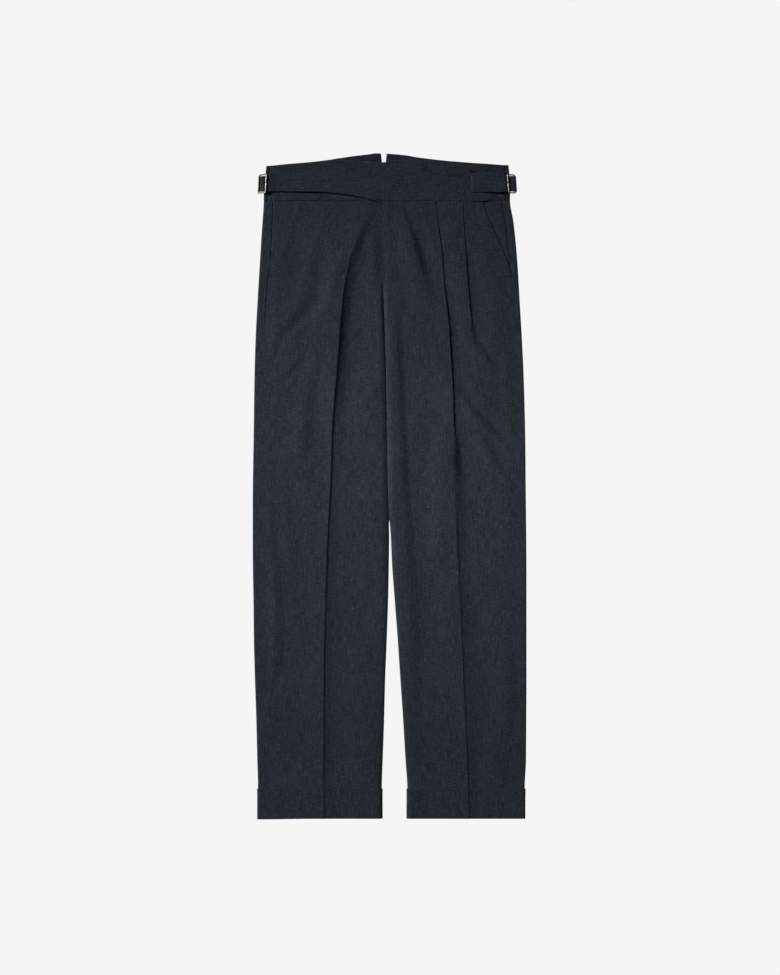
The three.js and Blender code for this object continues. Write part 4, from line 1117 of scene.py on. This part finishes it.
# Materials
class Nodes:
    """Short calls for building a material's nodes."""

    def __init__(self, name):
        self.material = bpy.data.materials.new(name)
        self.material.use_nodes = True
        self.tree = self.material.node_tree
        self.shader = self.tree.nodes["Principled BSDF"]

    def fill(self, node, values):
        """Links or sets a node's inputs, given by name or number."""
        for key, value in dict(values).items():
            socket = node.inputs[key]
            if isinstance(value, bpy.types.NodeSocket):
                self.tree.links.new(value, socket)
            elif socket.type == "RGBA":
                socket.default_value = (*value, 1)
            else:
                socket.default_value = value

    def node(self, kind, values=(), out=0, **settings):
        """One output of a new node."""
        made = self.tree.nodes.new("ShaderNode" + kind)
        for name, setting in settings.items():
            setattr(made, name, setting)
        self.fill(made, values)
        return made.outputs[out]

    def math(self, operation, a, b=0.0):
        return self.node("Math", enumerate((a, b, 0.0)), operation=operation)

    def times(self, a, b):
        return self.math("MULTIPLY", a, b)

    def plus(self, a, b):
        return self.math("ADD", a, b)

    def noise(self, vector, detail=2.0, scale=1.0):
        values = {"Vector": vector, "Scale": scale, "Detail": detail, "Roughness": 0.5}
        return self.node("TexNoise", values, "Fac")

    def ramp(self, value, low, high, to_low=0.0, to_high=1.0):
        values = {"Value": value, "From Min": low, "From Max": high, "To Min": to_low, "To Max": to_high}
        return self.node("MapRange", values, "Result", interpolation_type="SMOOTHSTEP")

    def mix(self, share, a, b):
        return self.node("Mix", {"Factor": share, "A": a, "B": b}, "Result", data_type="RGBA")


# Linen, in metres: its threads' pitch, and streaks that are fine across and long along the threads
THREAD = 0.00062
STREAKS = {
    "warp": {"fine": 0.0017, "long": 0.024, "seed": 3.0, "detail": 2.0},
    "weft": {"fine": 0.0015, "long": 0.012, "seed": 11.0, "detail": 2.0},
    "warp slub": {"fine": 0.0018, "long": 0.014, "seed": 23.0, "detail": 1.0},
    "weft slub": {"fine": 0.0016, "long": 0.007, "seed": 37.0, "detail": 1.0},
    "cloudy": {"fine": 0.03, "long": 0.09, "seed": 5.0, "detail": 3.0},
}
SLUB_FROM_TO = (0.57, 0.8)
SHADE_FROM_TO = (0.39, 0.61)
CLOUDY_SHARE = 0.2
SLUB_SHARE = 0.65
BUMP_OF = {"lattice": 0.16, "threads": 0.6, "slub": 0.35}


def linen(name, dark, mid, pale):
    """Slubby plain-weave linen: uneven threads both ways, some of them paler and thicker."""
    n = Nodes(name)
    split = n.tree.nodes.new("ShaderNodeSeparateXYZ")
    n.fill(split, {0: n.node("Attribute", out="Vector", attribute_name="weave")})
    u, v = split.outputs[0], split.outputs[1]

    def streaks(kind, a, b):
        row = STREAKS[kind]
        where = [n.times(a, 1 / row["fine"]), n.times(b, 1 / row["long"]), row["seed"]]
        return n.noise(n.node("CombineXYZ", enumerate(where)), row["detail"])

    threads = n.plus(streaks("warp", u, v), streaks("weft", v, u))
    warp_slub = n.ramp(streaks("warp slub", u, v), *SLUB_FROM_TO)
    weft_slub = n.ramp(streaks("weft slub", v, u), *SLUB_FROM_TO)
    clouds = n.times(n.math("SUBTRACT", streaks("cloudy", u, v), 0.5), CLOUDY_SHARE)
    shade = n.ramp(n.plus(n.times(threads, 0.5), clouds), *SHADE_FROM_TO)
    slub = n.times(n.math("MAXIMUM", warp_slub, weft_slub), SLUB_SHARE)
    lattice = n.times(*[n.math("SINE", n.times(way, 2 * math.pi / THREAD)) for way in (u, v)])
    rough = n.plus(n.times(threads, BUMP_OF["threads"]), n.times(slub, BUMP_OF["slub"]))
    height = n.plus(n.times(lattice, BUMP_OF["lattice"]), rough)
    n.fill(n.shader, {
        "Base Color": n.mix(slub, n.mix(shade, dark, mid), pale),
        "Normal": n.node("Bump", {"Strength": 0.35, "Distance": 0.0004, "Height": height}),
        "Roughness": 0.9, "Specular IOR Level": 0.08, "Sheen Weight": 0.02, "Sheen Roughness": 0.5,
    })
    return n.material


def thread(name):
    """Twisted sewing thread, a shade darker than the cloth."""
    n = Nodes(name)
    twist = n.noise(n.node("TexCoord", out="Object"), scale=2600)
    n.fill(n.shader, {
        "Base Color": n.mix(twist, (0.007, 0.009, 0.013), (0.017, 0.021, 0.030)),
        "Roughness": 0.7, "Specular IOR Level": 0.15,
    })
    return n.material


def gold(name):
    """Pale satin brass, its colour and gloss a little uneven."""
    n = Nodes(name)
    worn = n.noise(n.node("TexCoord", out="Object"), 3.0, 900)
    n.fill(n.shader, {
        "Base Color": n.mix(worn, (0.27, 0.235, 0.16), (0.34, 0.30, 0.22)),
        "Roughness": n.ramp(worn, 0.3, 0.7, 0.42, 0.54), "Metallic": 1.0,
    })
    return n.material


# Stage
FLOOR_TONE = 0.913
FLOOR_REACH = 60.0
FLOOR_DROP = 0.0002
KEY_WAY = (-0.830, 0.441, 0.342)
KEY_STRENGTH = 3.25
KEY_ANGLE = math.radians(7)

# Soft pools of light that even out the legs. A row has where the lamp is and what it points at.
SPOTS = {
    "pool": ((-5.81, 3.09, 2.394), (-0.17, -0.10, 0), {"cone": 18.0, "power": 2300.0, "soft": 0.4}),
    "centre": ((-2.62, 1.39, 1.855), (0.07, 0.0, 0), {"cone": 12.0, "power": 300.0, "soft": 0.2}),
    "low": ((-1.8, 0.6, 1.7), (-0.21, -0.38, 0), {"cone": 12.0, "power": 42.0, "soft": 0.15}),
    "top": ((-2.3, 1.62, 1.5), (0.17, 0.37, 0), {"cone": 9.5, "power": 85.0, "soft": 0.2}),
}
AMBIENT = 0.045
AMBIENT_TINT = (0.92, 0.96, 1.0)


def floor():
    mesh = bpy.data.meshes.new("floor")
    r = FLOOR_REACH
    mesh.from_pydata([(-r, -r, 0), (r, -r, 0), (r, r, 0), (-r, r, 0)], [], [(0, 1, 2, 3)])
    plane = add_object("floor", mesh)
    plane.location.z = -FLOOR_DROP
    n = Nodes("floor")
    n.fill(n.shader, {
        "Base Color": (0, 0, 0), "Roughness": 1.0, "Specular IOR Level": 0.0,
        "Emission Color": (FLOOR_TONE, FLOOR_TONE, FLOOR_TONE), "Emission Strength": 1.0,
    })
    mesh.materials.append(n.material)


def lamp(name, kind, position, target):
    data = bpy.data.lights.new(name, kind)
    light = add_object(name, data)
    light.location = position
    light.rotation_euler = (Vector(target) - Vector(position)).to_track_quat("-Z", "Y").to_euler()
    return data


def lights():
    key = lamp("key", "SUN", KEY_WAY, (0, 0, 0))
    key.energy = KEY_STRENGTH
    key.angle = KEY_ANGLE
    for name, (position, target, spot) in SPOTS.items():
        data = lamp(name, "SPOT", position, target)
        data.energy = spot["power"]
        data.spot_size = math.radians(spot["cone"])
        data.spot_blend = 1.0
        data.shadow_soft_size = spot["soft"]
    world = bpy.data.worlds.new("studio")
    bpy.context.scene.world = world
    world.use_nodes = True
    background = world.node_tree.nodes["Background"]
    background.inputs["Color"].default_value = (*AMBIENT_TINT, 1)
    background.inputs["Strength"].default_value = AMBIENT


def camera():
    data = bpy.data.cameras.new("camera")
    data.lens = LENS
    data.sensor_width = SENSOR
    data.clip_end = CAMERA_SEES
    eye = add_object("camera", data)
    distance = PHOTO_HEIGHT * MM_PER_PIXEL * LENS / SENSOR
    eye.location = (CAMERA_OFFSET[0] * MM, CAMERA_OFFSET[1] * MM, (distance + CLOTH_HEIGHT) * MM)
    bpy.context.scene.camera = eye


# Dark, middle and pale threads
NAVY = ((0.0125, 0.0165, 0.0235), (0.0225, 0.0285, 0.0405), (0.045, 0.055, 0.072))
# The back band's copy of the linen, the same threads a fifth darker: painted shade
NAVY_PAINTED_SHADE = ((0.010, 0.0125, 0.019), (0.018, 0.022, 0.032), (0.035, 0.042, 0.057))


def trousers():
    cloth = linen("navy_linen", *NAVY)
    # The back band gets the darker copy of the linen, with painted shade in its colour
    inside = linen("navy_linen_painted_shade", *NAVY_PAINTED_SHADE)
    brass = gold("champagne_gold")
    for side in SIDES:
        back_panel(side, cloth)
        front_panel(side, cloth)
        pocket_facing(side, cloth)
        turn_up(side, cloth)
        back_waistband(side, inside)
        buckle(side, brass)
    under_waistband(cloth)
    wrap_waistband(cloth)
    sewing(thread("navy_thread"))


camera()
lights()
floor()
bpy.context.scene.view_settings.view_transform = "Standard"
trousers()
